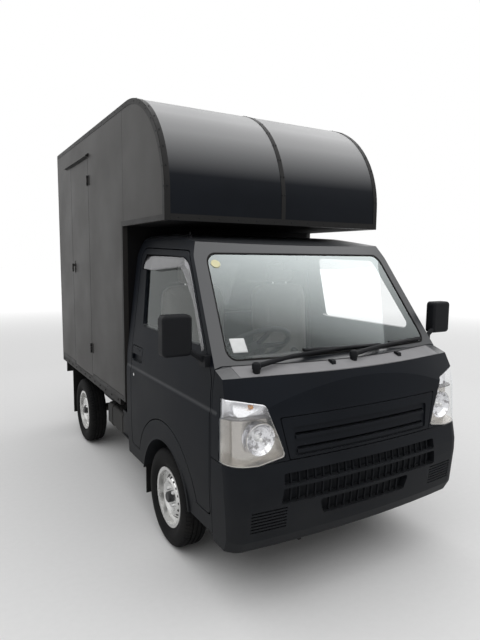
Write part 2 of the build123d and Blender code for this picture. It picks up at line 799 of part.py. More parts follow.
wiper_shapes = []
for px, py, ex, ez, x0, z0, x1, z1 in WIPERS:
    half = BLADE_WIDTH / 2
    strip = make_face(Polyline((x0, z0 - half), (x1, z1 - half), (x1, z1 + half), (x0, z0 + half), close=True))
    blade = shell(screen_hull, BLADE_TOP, BLADE_LIFT) & front_prism(strip, FRONT, -1200)
    pivot_z = cowl_height(px, py)
    pivot_top = (px, py, pivot_z + 24)
    elbow = screen_point(ex, ez, 26)
    middle = screen_point((x0 + x1) / 2, (z0 + z1) / 2, 4)
    arm = rod(pivot_top, elbow, 8) + (Pos(*elbow) * Sphere(8)) + rod(elbow, middle, 4.5)
    pivot = upright_rod(px, py, pivot_z - 6, pivot_z + 34, 17)
    wiper_shapes.append(blade + (arm + pivot - hull))
JETS = (
    # x, y
    (-150.0, -1578.0),
    (300.0, -1566.0),
)
for x, y in JETS:
    jet_z = cowl_height(x, y)
    jet_face = outline([(y - 16, jet_z - 10, 0), (y - 14, jet_z + 12, 6), (y + 16, jet_z + 18, 6), (y + 18, jet_z - 10, 0)])
    wiper_shapes.append(side_prism(jet_face, x - 11, x + 11) - hull)
save("wipers", *wiper_shapes)

# Chassis frame: two channel rails, cross members between them, a tow eye plate at each end
rail = block(RAIL_IN, RAIL_OUT, FRAME_FRONT, FRAME_REAR, RAIL_LOW, RAIL_TOP)
rail = rail - block(
    RAIL_IN - 5,
    RAIL_OUT - RAIL_WALL,
    FRAME_FRONT - 5,
    FRAME_REAR + 5,
    RAIL_LOW + RAIL_WALL,
    RAIL_TOP - RAIL_WALL,
)
save("frame_rails", *both(rail))
CROSS_WIDTH = 44.0
CROSS_BOTTOM = 394.0
CROSSES = (-1520.0, -1300.0, -300.0, 180.0, 620.0, 1230.0, 1560.0)
cross_shapes = []
for y in CROSSES:
    cross_half = RAIL_OUT - RAIL_WALL
    cross_shapes.append(
        block(-cross_half, cross_half, y - CROSS_WIDTH / 2, y + CROSS_WIDTH / 2, CROSS_BOTTOM, RAIL_TOP - RAIL_WALL)
    )
save("frame_crosses", *cross_shapes)
TOW_EYES = (
    # plate front y, plate rear y, plate bottom z, hole y, hole z
    (-1594.0, -1500.0, 262.0, -1570.0, 286.0),
    (1574.0, 1668.0, 302.0, 1646.0, 321.0),
)
tow_shapes = []
for y0, y1, z0, hole_y, hole_z in TOW_EYES:
    plate = block(TOW_EYE_X - TOW_EYE_PLATE / 2, TOW_EYE_X + TOW_EYE_PLATE / 2, y0, y1, z0, RAIL_LOW)
    tow_shapes.append(plate - rod((TOW_EYE_X - 20, hole_y, hole_z), (TOW_EYE_X + 20, hole_y, hole_z), TOW_EYE_RADIUS))
save("tow_eyes", *tow_shapes)

# Engine and gearbox as one plain block under the seats
GEARBOX_TOP = 388.0
GEARBOX_END = 0.0
engine = block(-230, 230, -980, -480, 262, 660) + block(-110, 110, -480, GEARBOX_END, 300, GEARBOX_TOP)
engine = engine + block(-40, 40, CROSSES[2] - 20, CROSSES[2] + 20, GEARBOX_TOP, CROSS_BOTTOM)
save("engine_block", engine)

# Propeller shaft, exhaust, fuel tank and battery
PINION_NOSE = REAR_AXLE - 130.0
shaft = rod((0, GEARBOX_END - 10, 346), (0, PINION_NOSE + 10, 274), SHAFT_RADIUS)
save("prop_shaft", shaft & slab_y(GEARBOX_END, PINION_NOSE))
EXHAUST_RUNS = (
    # y start, y end, radius
    (-480.0, 352.0, 20.0),
    (350.0, 770.0, 66.0),
    (768.0, 800.0, 20.0),
)
pipes = [rod((EXHAUST_X, y0, EXHAUST_Z), (EXHAUST_X, y1, EXHAUST_Z), r) for y0, y1, r in EXHAUST_RUNS]
save("exhaust", joined(pipes))
TANK_FRONT = 20.0
TANK_REAR = 468.0
TANK_IN = 372.0
TANK_OUT = 650.0
TANK_LOW = 300.0
TANK_HIGH = 470.0
STRAP = 3.0
tank = fillet(
    block(-TANK_OUT, -TANK_IN, TANK_FRONT, TANK_REAR, TANK_LOW, TANK_HIGH).edges().filter_by(Axis.Y), 30
)
strap_shapes = []
for y in (TANK_FRONT + 100, TANK_REAR - 100):
    band = block(-TANK_OUT - STRAP, -TANK_IN + STRAP, y - 15, y + 15, TANK_LOW - STRAP, TANK_HIGH + STRAP)
    strap_shapes.append(fillet(band.edges().filter_by(Axis.Y), 30 + STRAP))
    strap_shapes.append(block(-TANK_IN - 5, -RAIL_OUT, y - 15, y + 15, 360, 410))
save("fuel_tank", joined([tank] + strap_shapes))
BATTERY_FRONT = -205.0
battery_tray = block(-690, -RAIL_OUT, BATTERY_FRONT - 10, BATTERY_FRONT + 190, 362, 370)
battery_case = block(-682, -500, BATTERY_FRONT, BATTERY_FRONT + 180, 370, 522)
battery_lid = block(-686, -496, BATTERY_FRONT - 4, BATTERY_FRONT + 184, 522, 540)
posts = [upright_rod(x, BATTERY_FRONT + 40, 538, 553, 9) for x in (-655, -527)]
save("battery", joined([battery_tray, battery_case, battery_lid] + posts))

# Rear axle and springs
axle_shapes = [
    rod((-545, REAR_AXLE, TYRE_RADIUS), (545, REAR_AXLE, TYRE_RADIUS), AXLE_TUBE),
    rod((-55, REAR_AXLE, TYRE_RADIUS), (55, REAR_AXLE, TYRE_RADIUS), DIFF_RADIUS),
    rod((0, PINION_NOSE, TYRE_RADIUS + 6), (0, REAR_AXLE, TYRE_RADIUS + 6), 52),
]
for side, word in SIDES:
    stub_end = REAR_TRACK / 2 + DISC_OFFSET - 6
    axle_shapes.append(block(side * (SPRING_X - 30), side * (SPRING_X + 30), REAR_AXLE - 28, REAR_AXLE + 28, 284, 304))
    axle_shapes.append(
        rod((side * 540, REAR_AXLE, TYRE_RADIUS), (side * 585, REAR_AXLE, TYRE_RADIUS), DRUM_RADIUS)
    )
    axle_shapes.append(
        rod((side * 580, REAR_AXLE, TYRE_RADIUS), (side * stub_end, REAR_AXLE, TYRE_RADIUS), SPINDLE_RADIUS)
    )
save("rear_axle", joined(axle_shapes))
LEAVES = (
    # half length, z bottom, z top
    (SPRING_HALF, 304.0, 314.0),
    (380.0, 314.0, 322.0),
    (240.0, 322.0, 330.0),
)
spring_parts = []
for half, z0, z1 in LEAVES:
    spring_parts.append(
        block(SPRING_X - LEAF_WIDTH / 2, SPRING_X + LEAF_WIDTH / 2, REAR_AXLE - half, REAR_AXLE + half, z0, z1)
    )
for end in (-SPRING_HALF + 20, SPRING_HALF - 20):
    spring_parts.append(
        block(RAIL_OUT, SPRING_X + LEAF_WIDTH / 2, REAR_AXLE + end - 20, REAR_AXLE + end + 20, 300, 420)
    )
save("leaf_springs", *both(joined(spring_parts)))

# Front suspension: cross member, two arms with a ball socket at each end
arm_shapes = [block(-300, 300, FRONT_AXLE - 35, FRONT_AXLE + 35, 180, 240)]
for side, word in SIDES:
    arm_shapes.append(block(side * 295, side * 570, FRONT_AXLE - 30, FRONT_AXLE + 30, ARM_BOTTOM, ARM_TOP))
    arm_shapes.append(block(side * 560, side * KINGPIN, FRONT_AXLE - 20, FRONT_AXLE + 20, ARM_BOTTOM, ARM_TOP))
    arm_shapes.append(upright_rod(side * KINGPIN, FRONT_AXLE, ARM_BOTTOM, ARM_TOP, 20))
    arm_shapes.append(
        block(side * 300, side * 350, FRONT_AXLE - 110, FRONT_AXLE + 110, ARM_BOTTOM, RAIL_LOW)
    )
sockets = [
    upright_rod(side * KINGPIN, FRONT_AXLE, ARM_BOTTOM - 5, ARM_TOP + 5, BALL_RADIUS + PIN_FIT)
    for side, word in SIDES
]
save("front_suspension", joined(arm_shapes) - loose(sockets))

# Steering knuckles with stub axle, brake plate, ball stud, strut and spring
COIL_LOW = 428.0
COIL_HIGH = 538.0
COIL_TURNS = 5
coil_profile = [(0, COIL_LOW)]
pitch = (COIL_HIGH - COIL_LOW) / COIL_TURNS
for turn in range(COIL_TURNS):
    low = COIL_LOW + turn * pitch
    coil_profile += [(30, low), (39, low + pitch * 0.25), (39, low + pitch * 0.6), (30, low + pitch * 0.85)]
coil_profile.append((0, COIL_HIGH))
knuckle_parts = [
    block(KINGPIN + 9, KINGPIN + 28, FRONT_AXLE - 42, FRONT_AXLE + 42, 198, 340),
    upright_rod(KINGPIN, FRONT_AXLE, ARM_BOTTOM - 4, 206, BALL_RADIUS),
    block(KINGPIN - 14, KINGPIN + 12, FRONT_AXLE - 14, FRONT_AXLE + 14, 198, 214),
    rod((KINGPIN + 26, FRONT_AXLE, TYRE_RADIUS), (KINGPIN + 34, FRONT_AXLE, TYRE_RADIUS), DRUM_RADIUS),
    rod(
        (KINGPIN + 30, FRONT_AXLE, TYRE_RADIUS),
        (FRONT_TRACK / 2 + DISC_OFFSET - 6, FRONT_AXLE, TYRE_RADIUS),
        SPINDLE_RADIUS,
    ),
    block(STRUT_X - 10, KINGPIN + 12, FRONT_AXLE - 26, FRONT_AXLE + 26, 286, 322),
    upright_rod(STRUT_X, FRONT_AXLE, 250, 424, 22),
    upright_rod(STRUT_X, FRONT_AXLE, 420, STRUT_TOP, 14.5),
    ring_z(STRUT_X - 4, FRONT_AXLE, 0, coil_profile),
    upright_rod(STRUT_X - 4, FRONT_AXLE, 420, COIL_LOW, 41),
    upright_rod(STRUT_X - 4, FRONT_AXLE, COIL_HIGH, 546, 41),
]
knuckle = joined(knuckle_parts)
for side, word in SIDES:
    save("knuckle_" + word, sided(knuckle, side))

# Wheels: tyre, rim with a dished and drilled disc, hub cap
HALF_TYRE = TYRE_WIDTH / 2
HALF_RIM = RIM_WIDTH / 2
TYRE_IN = TYRE_RADIUS - TYRE_WALL - 2
tyre_profile = [
    (-HALF_RIM + 6.5, BEAD_SEAT + SEAT_FIT),
    (-HALF_RIM + 6, RIM_FLANGE + 2),
    (-HALF_TYRE + 8.5, 184),
    (-HALF_TYRE, 214),
    (-HALF_TYRE + 3.5, 240),
    (-HALF_TYRE + 12.5, TYRE_RADIUS - 8),
    (-HALF_TYRE + 28.5, TYRE_RADIUS),
    (HALF_TYRE - 28.5, TYRE_RADIUS),
    (HALF_TYRE - 12.5, TYRE_RADIUS - 8),
    (HALF_TYRE - 3.5, 240),
    (HALF_TYRE, 214),
    (HALF_TYRE - 8.5, 184),
    (HALF_RIM - 6, RIM_FLANGE + 2),
    (HALF_RIM - 6.5, BEAD_SEAT + SEAT_FIT),
    (HALF_RIM - 17, BEAD_SEAT + SEAT_FIT),
    (HALF_TYRE - TYRE_WALL, 214),
    (HALF_TYRE - 26, TYRE_IN),
    (-HALF_TYRE + 26, TYRE_IN),
    (-HALF_TYRE + TYRE_WALL, 214),
    (-HALF_RIM + 17, BEAD_SEAT + SEAT_FIT),
]
rim_profile = [
    (-HALF_RIM, RIM_FLANGE),
    (-HALF_RIM + 5, RIM_FLANGE),
    (-HALF_RIM + 6, BEAD_SEAT),
    (-24, BEAD_SEAT - 2),
    (-18, RIM_WELL),
    (14, RIM_WELL),
    (24, BEAD_SEAT - 2),
    (HALF_RIM - 6, BEAD_SEAT),
    (HALF_RIM - 5, RIM_FLANGE),
    (HALF_RIM, RIM_FLANGE),
    (HALF_RIM - 1, BEAD_SEAT - BARREL_WALL),
    (27, BEAD_SEAT - 2 - BARREL_WALL),
    (20, RIM_WELL - BARREL_WALL),
    (-22, RIM_WELL - BARREL_WALL),
    (-29, BEAD_SEAT - 2 - BARREL_WALL),
    (-HALF_RIM + 1, BEAD_SEAT - BARREL_WALL),
]
disc_profile = [
    (DISC_OFFSET, SPINDLE_RADIUS + RUNNING_FIT),
    (DISC_OFFSET, HUB_BOLT_FACE),
    (DISC_OFFSET + 10, 88),
    (DISC_OFFSET + 4, 104),
    (12, DISC_RADIUS),
    (7, DISC_RADIUS - 2),
    (DISC_OFFSET, 98),
    (DISC_OFFSET + 5, 88),
    (DISC_OFFSET - 5, HUB_BOLT_FACE),
    (DISC_OFFSET - 16, 60),
    (DISC_OFFSET - 16, 40),
    (-8, 38),
    (-8, SPINDLE_RADIUS + RUNNING_FIT),
]
cap_profile = [
    (DISC_OFFSET - 0.5, 0),
    (DISC_OFFSET - 0.5, HUB_CAP_RADIUS),
    (DISC_OFFSET + HUB_CAP_LENGTH - 4, HUB_CAP_RADIUS - 2),
    (DISC_OFFSET + HUB_CAP_LENGTH, HUB_CAP_RADIUS - 7),
    (DISC_OFFSET + HUB_CAP_LENGTH, 0),
]
tyre = ring_x(0, 0, TYRE_RADIUS, tyre_profile)
rim = ring_x(0, 0, TYRE_RADIUS, rim_profile) + ring_x(0, 0, TYRE_RADIUS, disc_profile)
holes = []
for i in range(RIM_HOLES):
    angle = 2 * math.pi * i / RIM_HOLES
    hy = RIM_HOLE_RING * math.cos(angle)
    hz = TYRE_RADIUS + RIM_HOLE_RING * math.sin(angle)
    holes.append(rod((0, hy, hz), (70, hy, hz), RIM_HOLE_RADIUS))
rim = rim - loose(holes) + ring_x(0, 0, TYRE_RADIUS, cap_profile)
AXLES = (
    # word, half track, y
    ("front", FRONT_TRACK / 2, FRONT_AXLE),
    ("rear", REAR_TRACK / 2, REAR_AXLE),
)
for axle, x, y in AXLES:
    for side, word in SIDES:
        save("tyre_" + axle + "_" + word, sided(Pos(x, y, 0) * tyre, side))
        save("rim_" + axle + "_" + word, sided(Pos(x, y, 0) * rim, side))

# Mud flaps behind each wheel
FLAP = 5.0
FLAP_OUT = 722.0
flap_shapes = []
for side, word in SIDES:
    flap_shapes.append(block(side * 585, side * FLAP_OUT, -575, -575 + FLAP, 168, 385) - cab_shell)
    flap_shapes.append(block(side * 575, side * FLAP_OUT, 1330, 1330 + FLAP, 170, RAIL_BOTTOM))
save("mud_flaps", *flap_shapes)

# Load deck on its cross bearers, with side rails and the two sills on the chassis
BEARER_BOTTOM = 560.0
BAR_FRONT = BOX_REAR - 70.0
BEARERS = (-180.0, 120.0, 420.0, 720.0, 1310.0, 1590.0)
inside_half = BOX_HALF - BOX_WALL - 1
save("box_deck", block(-inside_half, inside_half, BOX_FRONT + BOX_WALL + 2, BOX_REAR - REAR_FRAME - 1, DECK, BOX_BOTTOM))
save("deck_bearers", *[block(-690, 690, y - 20, y + 20, BEARER_BOTTOM, DECK) for y in BEARERS])
rail_shapes = both(
    block(BOX_HALF - BOX_WALL, BOX_HALF - 2, -120, BOX_REAR - REAR_FRAME - 1, RAIL_BOTTOM, BOX_BOTTOM - 1)
)
rail_shapes += both(block(RAIL_IN + 4, RAIL_OUT - 2, BOX_FRONT + 40, BAR_FRONT, RAIL_TOP, BEARER_BOTTOM))
save("box_rails", *rail_shapes)


# Box body, its side a rectangle with a quarter-round nose and a step over the cab
def nose_face(inset, low):
    """Side view of the nose and roof, from its lower edge up, with an inset."""
    bend = math.cos(math.radians(45)) * (NOSE_RADIUS - inset)
    arc_y = NOSE_FRONT + NOSE_RADIUS
    arc_z = BOX_TOP - NOSE_RADIUS
    front = NOSE_FRONT + inset
    rear = BOX_REAR - inset
    return make_face(
        [
            Line((front, low), (front, arc_z)),
            ThreePointArc((front, arc_z), (arc_y - bend, arc_z + bend), (arc_y, BOX_TOP - inset)),
            Line((arc_y, BOX_TOP - inset), (rear, BOX_TOP - inset)),
            Line((rear, BOX_TOP - inset), (rear, low)),
            Line((rear, low), (front, low)),
        ]
    )


def side_face(inset):
    """Whole side of the box, nose, step and load space, with an inset."""
    bend = math.cos(math.radians(45)) * (NOSE_RADIUS - inset)
    arc_y = NOSE_FRONT + NOSE_RADIUS
    arc_z = BOX_TOP - NOSE_RADIUS
    points = [
        (arc_y, BOX_TOP - inset),
        (BOX_REAR - inset, BOX_TOP - inset),
        (BOX_REAR - inset, BOX_BOTTOM + inset),
        (BOX_FRONT + inset, BOX_BOTTOM + inset),
        (BOX_FRONT + inset, NOSE_BOTTOM + inset),
        (NOSE_FRONT + inset, NOSE_BOTTOM + inset),
        (NOSE_FRONT + inset, arc_z),
    ]
    edges = [Line(points[i], points[i + 1]) for i in range(len(points) - 1)]
    edges.append(ThreePointArc(points[-1], (arc_y - bend, arc_z + bend), points[0]))
    return make_face(edges)


side_end = BOX_REAR - REAR_FRAME - FIT_GAP
door_hole = block(-FAR, -BOX_HALF + BOX_WALL + 20, SIDE_DOOR_FRONT, SIDE_DOOR_REAR, BOX_BOTTOM - 10, SIDE_DOOR_TOP)
for side, word in SIDES:
    panel = side_prism(side_face(0), BOX_HALF - BOX_WALL, BOX_HALF) & slab_y(-FAR, side_end)
    panel = sided(panel - slab_y(NOSE_SEAM - SEAM_GAP / 2, NOSE_SEAM + SEAM_GAP / 2), side)
    if side < 0:
        panel = panel - door_hole
    save("box_side_" + word, panel)

inner = BOX_HALF - BOX_WALL - FIT_GAP
top_skin = side_prism(nose_face(0, NOSE_BOTTOM) - nose_face(ROOF_SKIN, NOSE_BOTTOM - 1), -inner, inner)
top_skin = top_skin & slab_y(-FAR, side_end)
save("box_roof", top_skin & slab_y(NOSE_SEAM + SEAM_GAP / 2, FAR) & slab_z(BOX_TOP - 200, FAR))
nose_part = top_skin & block(SEAM_GAP / 2, FAR, -FAR, NOSE_SEAM - SEAM_GAP / 2, -FAR, FAR)
save("nose_panels", *both(nose_part))
front_wall = block(-inner, inner, BOX_FRONT, BOX_FRONT + BOX_WALL, BOX_BOTTOM + 1, NOSE_BOTTOM + 24)
nose_floor = block(-inner, inner, NOSE_FRONT + ROOF_SKIN + 1, BOX_FRONT - 1, NOSE_BOTTOM, NOSE_BOTTOM + 24)
save("box_front_wall", front_wall, nose_floor)


# Hinges, each a fixed pair of barrels with a pin and a turning barrel between them
def hinge_parts(x, y, z0, z1, fixed_plate, leaf_plate):
    """Fixed and turning part of one hinge, each barrel seated on its own plate."""
    third = (z1 - z0) / 3
    gap = 1.0
    fixed = [
        upright_rod(x, y, z0, z0 + third - gap, HINGE_RADIUS),
        upright_rod(x, y, z1 - third + gap, z1, HINGE_RADIUS),
        upright_rod(x, y, z0, z1, HINGE_PIN),
    ]
    room = upright_rod(x, y, z0 + third - gap, z1 - third + gap, HINGE_RADIUS + 2)
    turning = upright_rod(x, y, z0 + third, z1 - third, HINGE_RADIUS) - upright_rod(
        x, y, z0, z1, HINGE_PIN + PIN_FIT
    )
    ends = upright_rod(x, y, z0 - 1, z0 + third, HINGE_RADIUS + 2) + upright_rod(
        x, y, z1 - third, z1 + 1, HINGE_RADIUS + 2
    )
    fixed_part = joined(fixed + [fixed_plate - room])
    turning_part = turning + (leaf_plate - ends - upright_rod(x, y, z0, z1, HINGE_PIN + PIN_FIT))
    return fixed_part, turning_part


PLATE_THICK = 4.0
SIDE_HINGE_X = -BOX_HALF - HINGE_RADIUS
SIDE_HINGE_Y = SIDE_DOOR_FRONT + LEAF_GAP / 2
SIDE_HINGES = (
    # z bottom, z top
    (846.0, 918.0),
    (2121.0, 2193.0),
)
side_fixed = []
side_turning = []
for z0, z1 in SIDE_HINGES:
    on_body = block(
        -BOX_HALF - PLATE_THICK, -BOX_HALF, SIDE_HINGE_Y - 34, SIDE_HINGE_Y - 3, z0, z1
    ) + block(SIDE_HINGE_X, -BOX_HALF, SIDE_HINGE_Y - 6, SIDE_HINGE_Y - 3, z0, z1)
    on_leaf = block(
        -BOX_HALF - PLATE_THICK, -BOX_HALF, SIDE_HINGE_Y + 3, SIDE_HINGE_Y + 34, z0, z1
    ) + block(SIDE_HINGE_X, -BOX_HALF, SIDE_HINGE_Y + 3, SIDE_HINGE_Y + 6, z0, z1)
    fixed, turning = hinge_parts(SIDE_HINGE_X, SIDE_HINGE_Y, z0, z1, on_body, on_leaf)
    side_fixed.append(fixed)
    side_turning.append(turning)

leaf_low = BOX_BOTTOM + LEAF_GAP
leaf_high = SIDE_DOOR_TOP - LEAF_GAP
side_leaf = block(
    -BOX_HALF,
    -BOX_HALF + BOX_WALL,
    SIDE_DOOR_FRONT + LEAF_GAP,
    SIDE_DOOR_REAR - LEAF_GAP,
    leaf_low,
    leaf_high,
)
latch_plate = block(-BOX_HALF - 3, -BOX_HALF, 1062, 1118, 1452, 1552)
latch_bar = block(-BOX_HALF - 22, -BOX_HALF - 10, 1082, 1098, 1462, 1530)
latch_stem = rod((-BOX_HALF, 1090, 1520), (-BOX_HALF - 12, 1090, 1520), 9)
save("box_side_door", joined([side_leaf, latch_plate, latch_bar, latch_stem] + side_turning))

# Rear frame with its two doors, hinged at the posts and closed by lock rods
REAR_HINGE_X = BOX_HALF - REAR_POST - LEAF_GAP / 2
REAR_HINGE_Y = BOX_REAR + HINGE_RADIUS
REAR_HINGES = (
    # z bottom, z top
    (760.0, 835.0),
    (1500.0, 1575.0),
    (2290.0, 2365.0),
)
rear_fixed = []
rear_turning = []
for z0, z1 in REAR_HINGES:
    on_post = block(REAR_HINGE_X + 3, REAR_HINGE_X + 36, BOX_REAR, BOX_REAR + PLATE_THICK, z0, z1) + block(
        REAR_HINGE_X + 3, REAR_HINGE_X + 6, BOX_REAR, REAR_HINGE_Y, z0, z1
    )
    on_leaf = block(REAR_HINGE_X - 76, REAR_HINGE_X - 3, BOX_REAR, BOX_REAR + PLATE_THICK, z0, z1) + block(
        REAR_HINGE_X - 6, REAR_HINGE_X - 3, BOX_REAR, REAR_HINGE_Y, z0, z1
    )
    fixed, turning = hinge_parts(REAR_HINGE_X, REAR_HINGE_Y, z0, z1, on_post, on_leaf)
    rear_fixed.append(fixed)
    rear_turning.append(turning)
rear_frame = block(-BOX_HALF, BOX_HALF, BOX_REAR - REAR_FRAME, BOX_REAR, RAIL_BOTTOM, BOX_TOP) - block(
    -BOX_HALF + REAR_POST,
    BOX_HALF - REAR_POST,
    BOX_REAR - 60,
    BOX_REAR + 60,
    BOX_BOTTOM + 6,
    BOX_TOP - REAR_HEADER,
)
fixed_pairs = []
for part in rear_fixed:
    fixed_pairs += both(part)
save("rear_frame", joined([rear_frame] + fixed_pairs))
rear_leaf = block(
    3,
    BOX_HALF - REAR_POST - LEAF_GAP,
    BOX_REAR - 27,
    BOX_REAR,
    BOX_BOTTOM + 6 + LEAF_GAP,
    BOX_TOP - REAR_HEADER - LEAF_GAP,
)
ROD_X = 62.0
ROD_RADIUS = 11.0
rod_y = BOX_REAR + ROD_RADIUS + 2
lock_parts = [upright_rod(ROD_X, rod_y, BOX_BOTTOM + 24, BOX_TOP - REAR_HEADER - 24, ROD_RADIUS)]
for z in (760.0, 1250.0, 1750.0, 2290.0):
    lock_parts.append(block(ROD_X - 30, ROD_X + 30, BOX_REAR, BOX_REAR + 5, z - 22, z + 22))
    lock_parts.append(block(ROD_X - 15, ROD_X + 15, BOX_REAR, BOX_REAR + 23, z - 12, z + 12))
lock_parts.append(block(ROD_X - 6, ROD_X + 170, BOX_REAR + 8, BOX_REAR + 20, 1220, 1238))
for side, word in SIDES:
    save("rear_door_" + word, sided(joined([rear_leaf] + lock_parts + rear_turning), side))

# Trims: angle strips along the edges, seam strips, drip rail and the side door's fixed hinges
trim_shapes = []
for side, word in SIDES:
    strip = side_prism(side_face(0) - side_face(TRIM_WIDTH), BOX_HALF, BOX_HALF + TRIM_THICK)
    strip = strip & slab_y(-FAR, side_end)
    wrap = side_prism(nose_face(-TRIM_THICK, NOSE_BOTTOM) - nose_face(0, NOSE_BOTTOM - 1), BOX_HALF - TRIM_WIDTH, BOX_HALF)
    wrap = wrap & slab_y(-FAR, side_end)
    edge = sided(strip + wrap, side)
    if side < 0:
        edge = edge - block(-FAR, 0, SIDE_DOOR_FRONT - 2, SIDE_DOOR_REAR + 2, 0, SIDE_DOOR_TOP)
    trim_shapes.append(edge)
between = BOX_HALF - TRIM_WIDTH - FIT_GAP
seam_strip = side_prism(nose_face(-TRIM_THICK, NOSE_BOTTOM) - nose_face(0, NOSE_BOTTOM - 1), -14, 14)
seam_strip = seam_strip & slab_y(-FAR, NOSE_SEAM)
foot_strip = block(-between, between, NOSE_FRONT - TRIM_THICK, NOSE_FRONT, NOSE_BOTTOM, NOSE_BOTTOM + 34)
roof_strip = block(-between, between, NOSE_SEAM - 16, NOSE_SEAM + 16, BOX_TOP, BOX_TOP + TRIM_THICK)
trim_shapes.append(joined([seam_strip, foot_strip, roof_strip]))
drip_face = outline(
    [(-BOX_HALF - 22, SIDE_DOOR_TOP + 8, 0), (-BOX_HALF - 20, SIDE_DOOR_TOP + 14, 0), (-BOX_HALF, SIDE_DOOR_TOP + 30, 0), (-BOX_HALF, SIDE_DOOR_TOP + 3, 0)]
)
trim_shapes.append(front_prism(drip_face, 562, 1298))
trim_shapes += side_fixed
save("box_trims", *trim_shapes)

# Rear bar with the lamps on its brackets
bar = block(-600, 600, BAR_FRONT, BOX_REAR - 42, 440, BEARER_BOTTOM)
bar = bar - block(-70, 70, BOX_REAR - 71, BOX_REAR - 41, 470, 490)
bar_parts = [bar]
for side, word in SIDES:
    bar_parts.append(block(side * 455, side * 712, BOX_REAR - 42, BOX_REAR - 38, 490, RAIL_BOTTOM))
save("rear_bumper", joined(bar_parts))
LAMP_CELLS = (
    # x inner, x outer
    (462.0, 538.0),
    (542.0, 618.0),
    (622.0, 698.0),
)
lamp_body = block(460, 700, BOX_REAR - 38, BOX_REAR - 20, 498, 592)
cells = [
    fillet(block(x0, x1, BOX_REAR - 22, BOX_REAR - 6, 500, 590).edges().filter_by(Axis.Y), 8)
    for x0, x1 in LAMP_CELLS
]
save("tail_lamps", *both(joined([lamp_body] + cells)))
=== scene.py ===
# %% [markdown]
# # Kei truck with a box body
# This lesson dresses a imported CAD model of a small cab-over truck: matt black cab, tall box with a
# rounded nose, silver steel wheels. The solids come from the frame and stay where they are. Each step
# adds a finish, or a thin piece that a solid would not carry well, such as tread, rivets or a visor.

# %% Load the frame
import json
import bmesh
import bpy
import numpy as np
from mathutils import Matrix


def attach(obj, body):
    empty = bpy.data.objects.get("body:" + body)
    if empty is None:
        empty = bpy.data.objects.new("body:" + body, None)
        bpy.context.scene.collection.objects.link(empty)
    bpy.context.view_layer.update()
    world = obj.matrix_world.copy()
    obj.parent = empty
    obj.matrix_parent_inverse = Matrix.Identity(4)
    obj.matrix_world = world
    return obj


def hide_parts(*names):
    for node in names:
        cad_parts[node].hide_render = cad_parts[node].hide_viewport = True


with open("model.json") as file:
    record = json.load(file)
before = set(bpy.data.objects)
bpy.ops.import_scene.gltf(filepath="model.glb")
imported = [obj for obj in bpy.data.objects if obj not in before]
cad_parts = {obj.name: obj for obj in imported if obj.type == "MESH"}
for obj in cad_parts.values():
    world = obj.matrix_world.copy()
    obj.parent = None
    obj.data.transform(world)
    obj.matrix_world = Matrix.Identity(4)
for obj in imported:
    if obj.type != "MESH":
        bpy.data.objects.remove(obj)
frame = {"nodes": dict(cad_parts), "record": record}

scene = bpy.context.scene
nodes = frame["nodes"]
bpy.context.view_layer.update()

# %% [markdown]
# ## Camera
# The picture was taken by a hand-held telephone at eye height, in front of the truck's right side.
# A camera model was fitted to it, so the camera here takes the same place, turn and opening. Its three
# axes are worked out from yaw, pitch and roll instead of being turned by hand.

# %% Camera
EYE = np.array([-1.7628, -3.4664, 1.5890])
YAW, PITCH, ROLL = 0.5282, -0.1183, 0.0090
FOCAL_PIXELS = 521.2
IMAGE_HEIGHT = 640
ahead = np.array([np.sin(YAW) * np.cos(PITCH), np.cos(YAW) * np.cos(PITCH), np.sin(PITCH)])
level = np.array([np.cos(YAW), -np.sin(YAW), 0.0])
over = np.cross(level, ahead)
right = np.cos(ROLL) * level + np.sin(ROLL) * over
upward = np.cos(ROLL) * over - np.sin(ROLL) * level
turn = Matrix([[right[i], upward[i], -ahead[i], EYE[i]] for i in range(3)] + [[0, 0, 0, 1]])
lens = bpy.data.cameras.new("photo_view")
lens.sensor_fit = "VERTICAL"
lens.sensor_height = 36
lens.lens = FOCAL_PIXELS / IMAGE_HEIGHT * 36
camera = bpy.data.objects.new("photo_view", lens)
camera.matrix_world = turn
scene.collection.objects.link(camera)
scene.camera = camera
print("focal length", round(lens.lens, 2), "mm")

# %% [markdown]
# ## Shader sums written as sums
# A finish is a small graph of nodes. Wiring each Math node by hand hides the idea, so a value in the
# graph is wrapped in a class whose plus, minus, times and comparisons add the nodes. One method adds
# every other node: its type first, then its settings, then what goes into its sockets.


# %% Values and finishes
def operator(operation, swapped=False):
    """A method for one arithmetic sign: it adds the Math node of that operation."""

    def method(self, other):
        a, b = (other, self) if swapped else (self, other)
        return self.finish.math(operation, a, b)

    return method


class Value:
    """A number that varies over a surface; arithmetic on it adds Math nodes."""

    def __init__(self, finish, socket):
        self.finish = finish
        self.socket = socket

    __add__ = operator("ADD")
    __sub__ = operator("SUBTRACT")
    __rsub__ = operator("SUBTRACT", swapped=True)
    __mul__ = operator("MULTIPLY")
    __rmul__ = operator("MULTIPLY", swapped=True)
    __truediv__ = operator("DIVIDE")
    __pow__ = operator("POWER")
    __gt__ = operator("GREATER_THAN")
    __lt__ = operator("LESS_THAN")


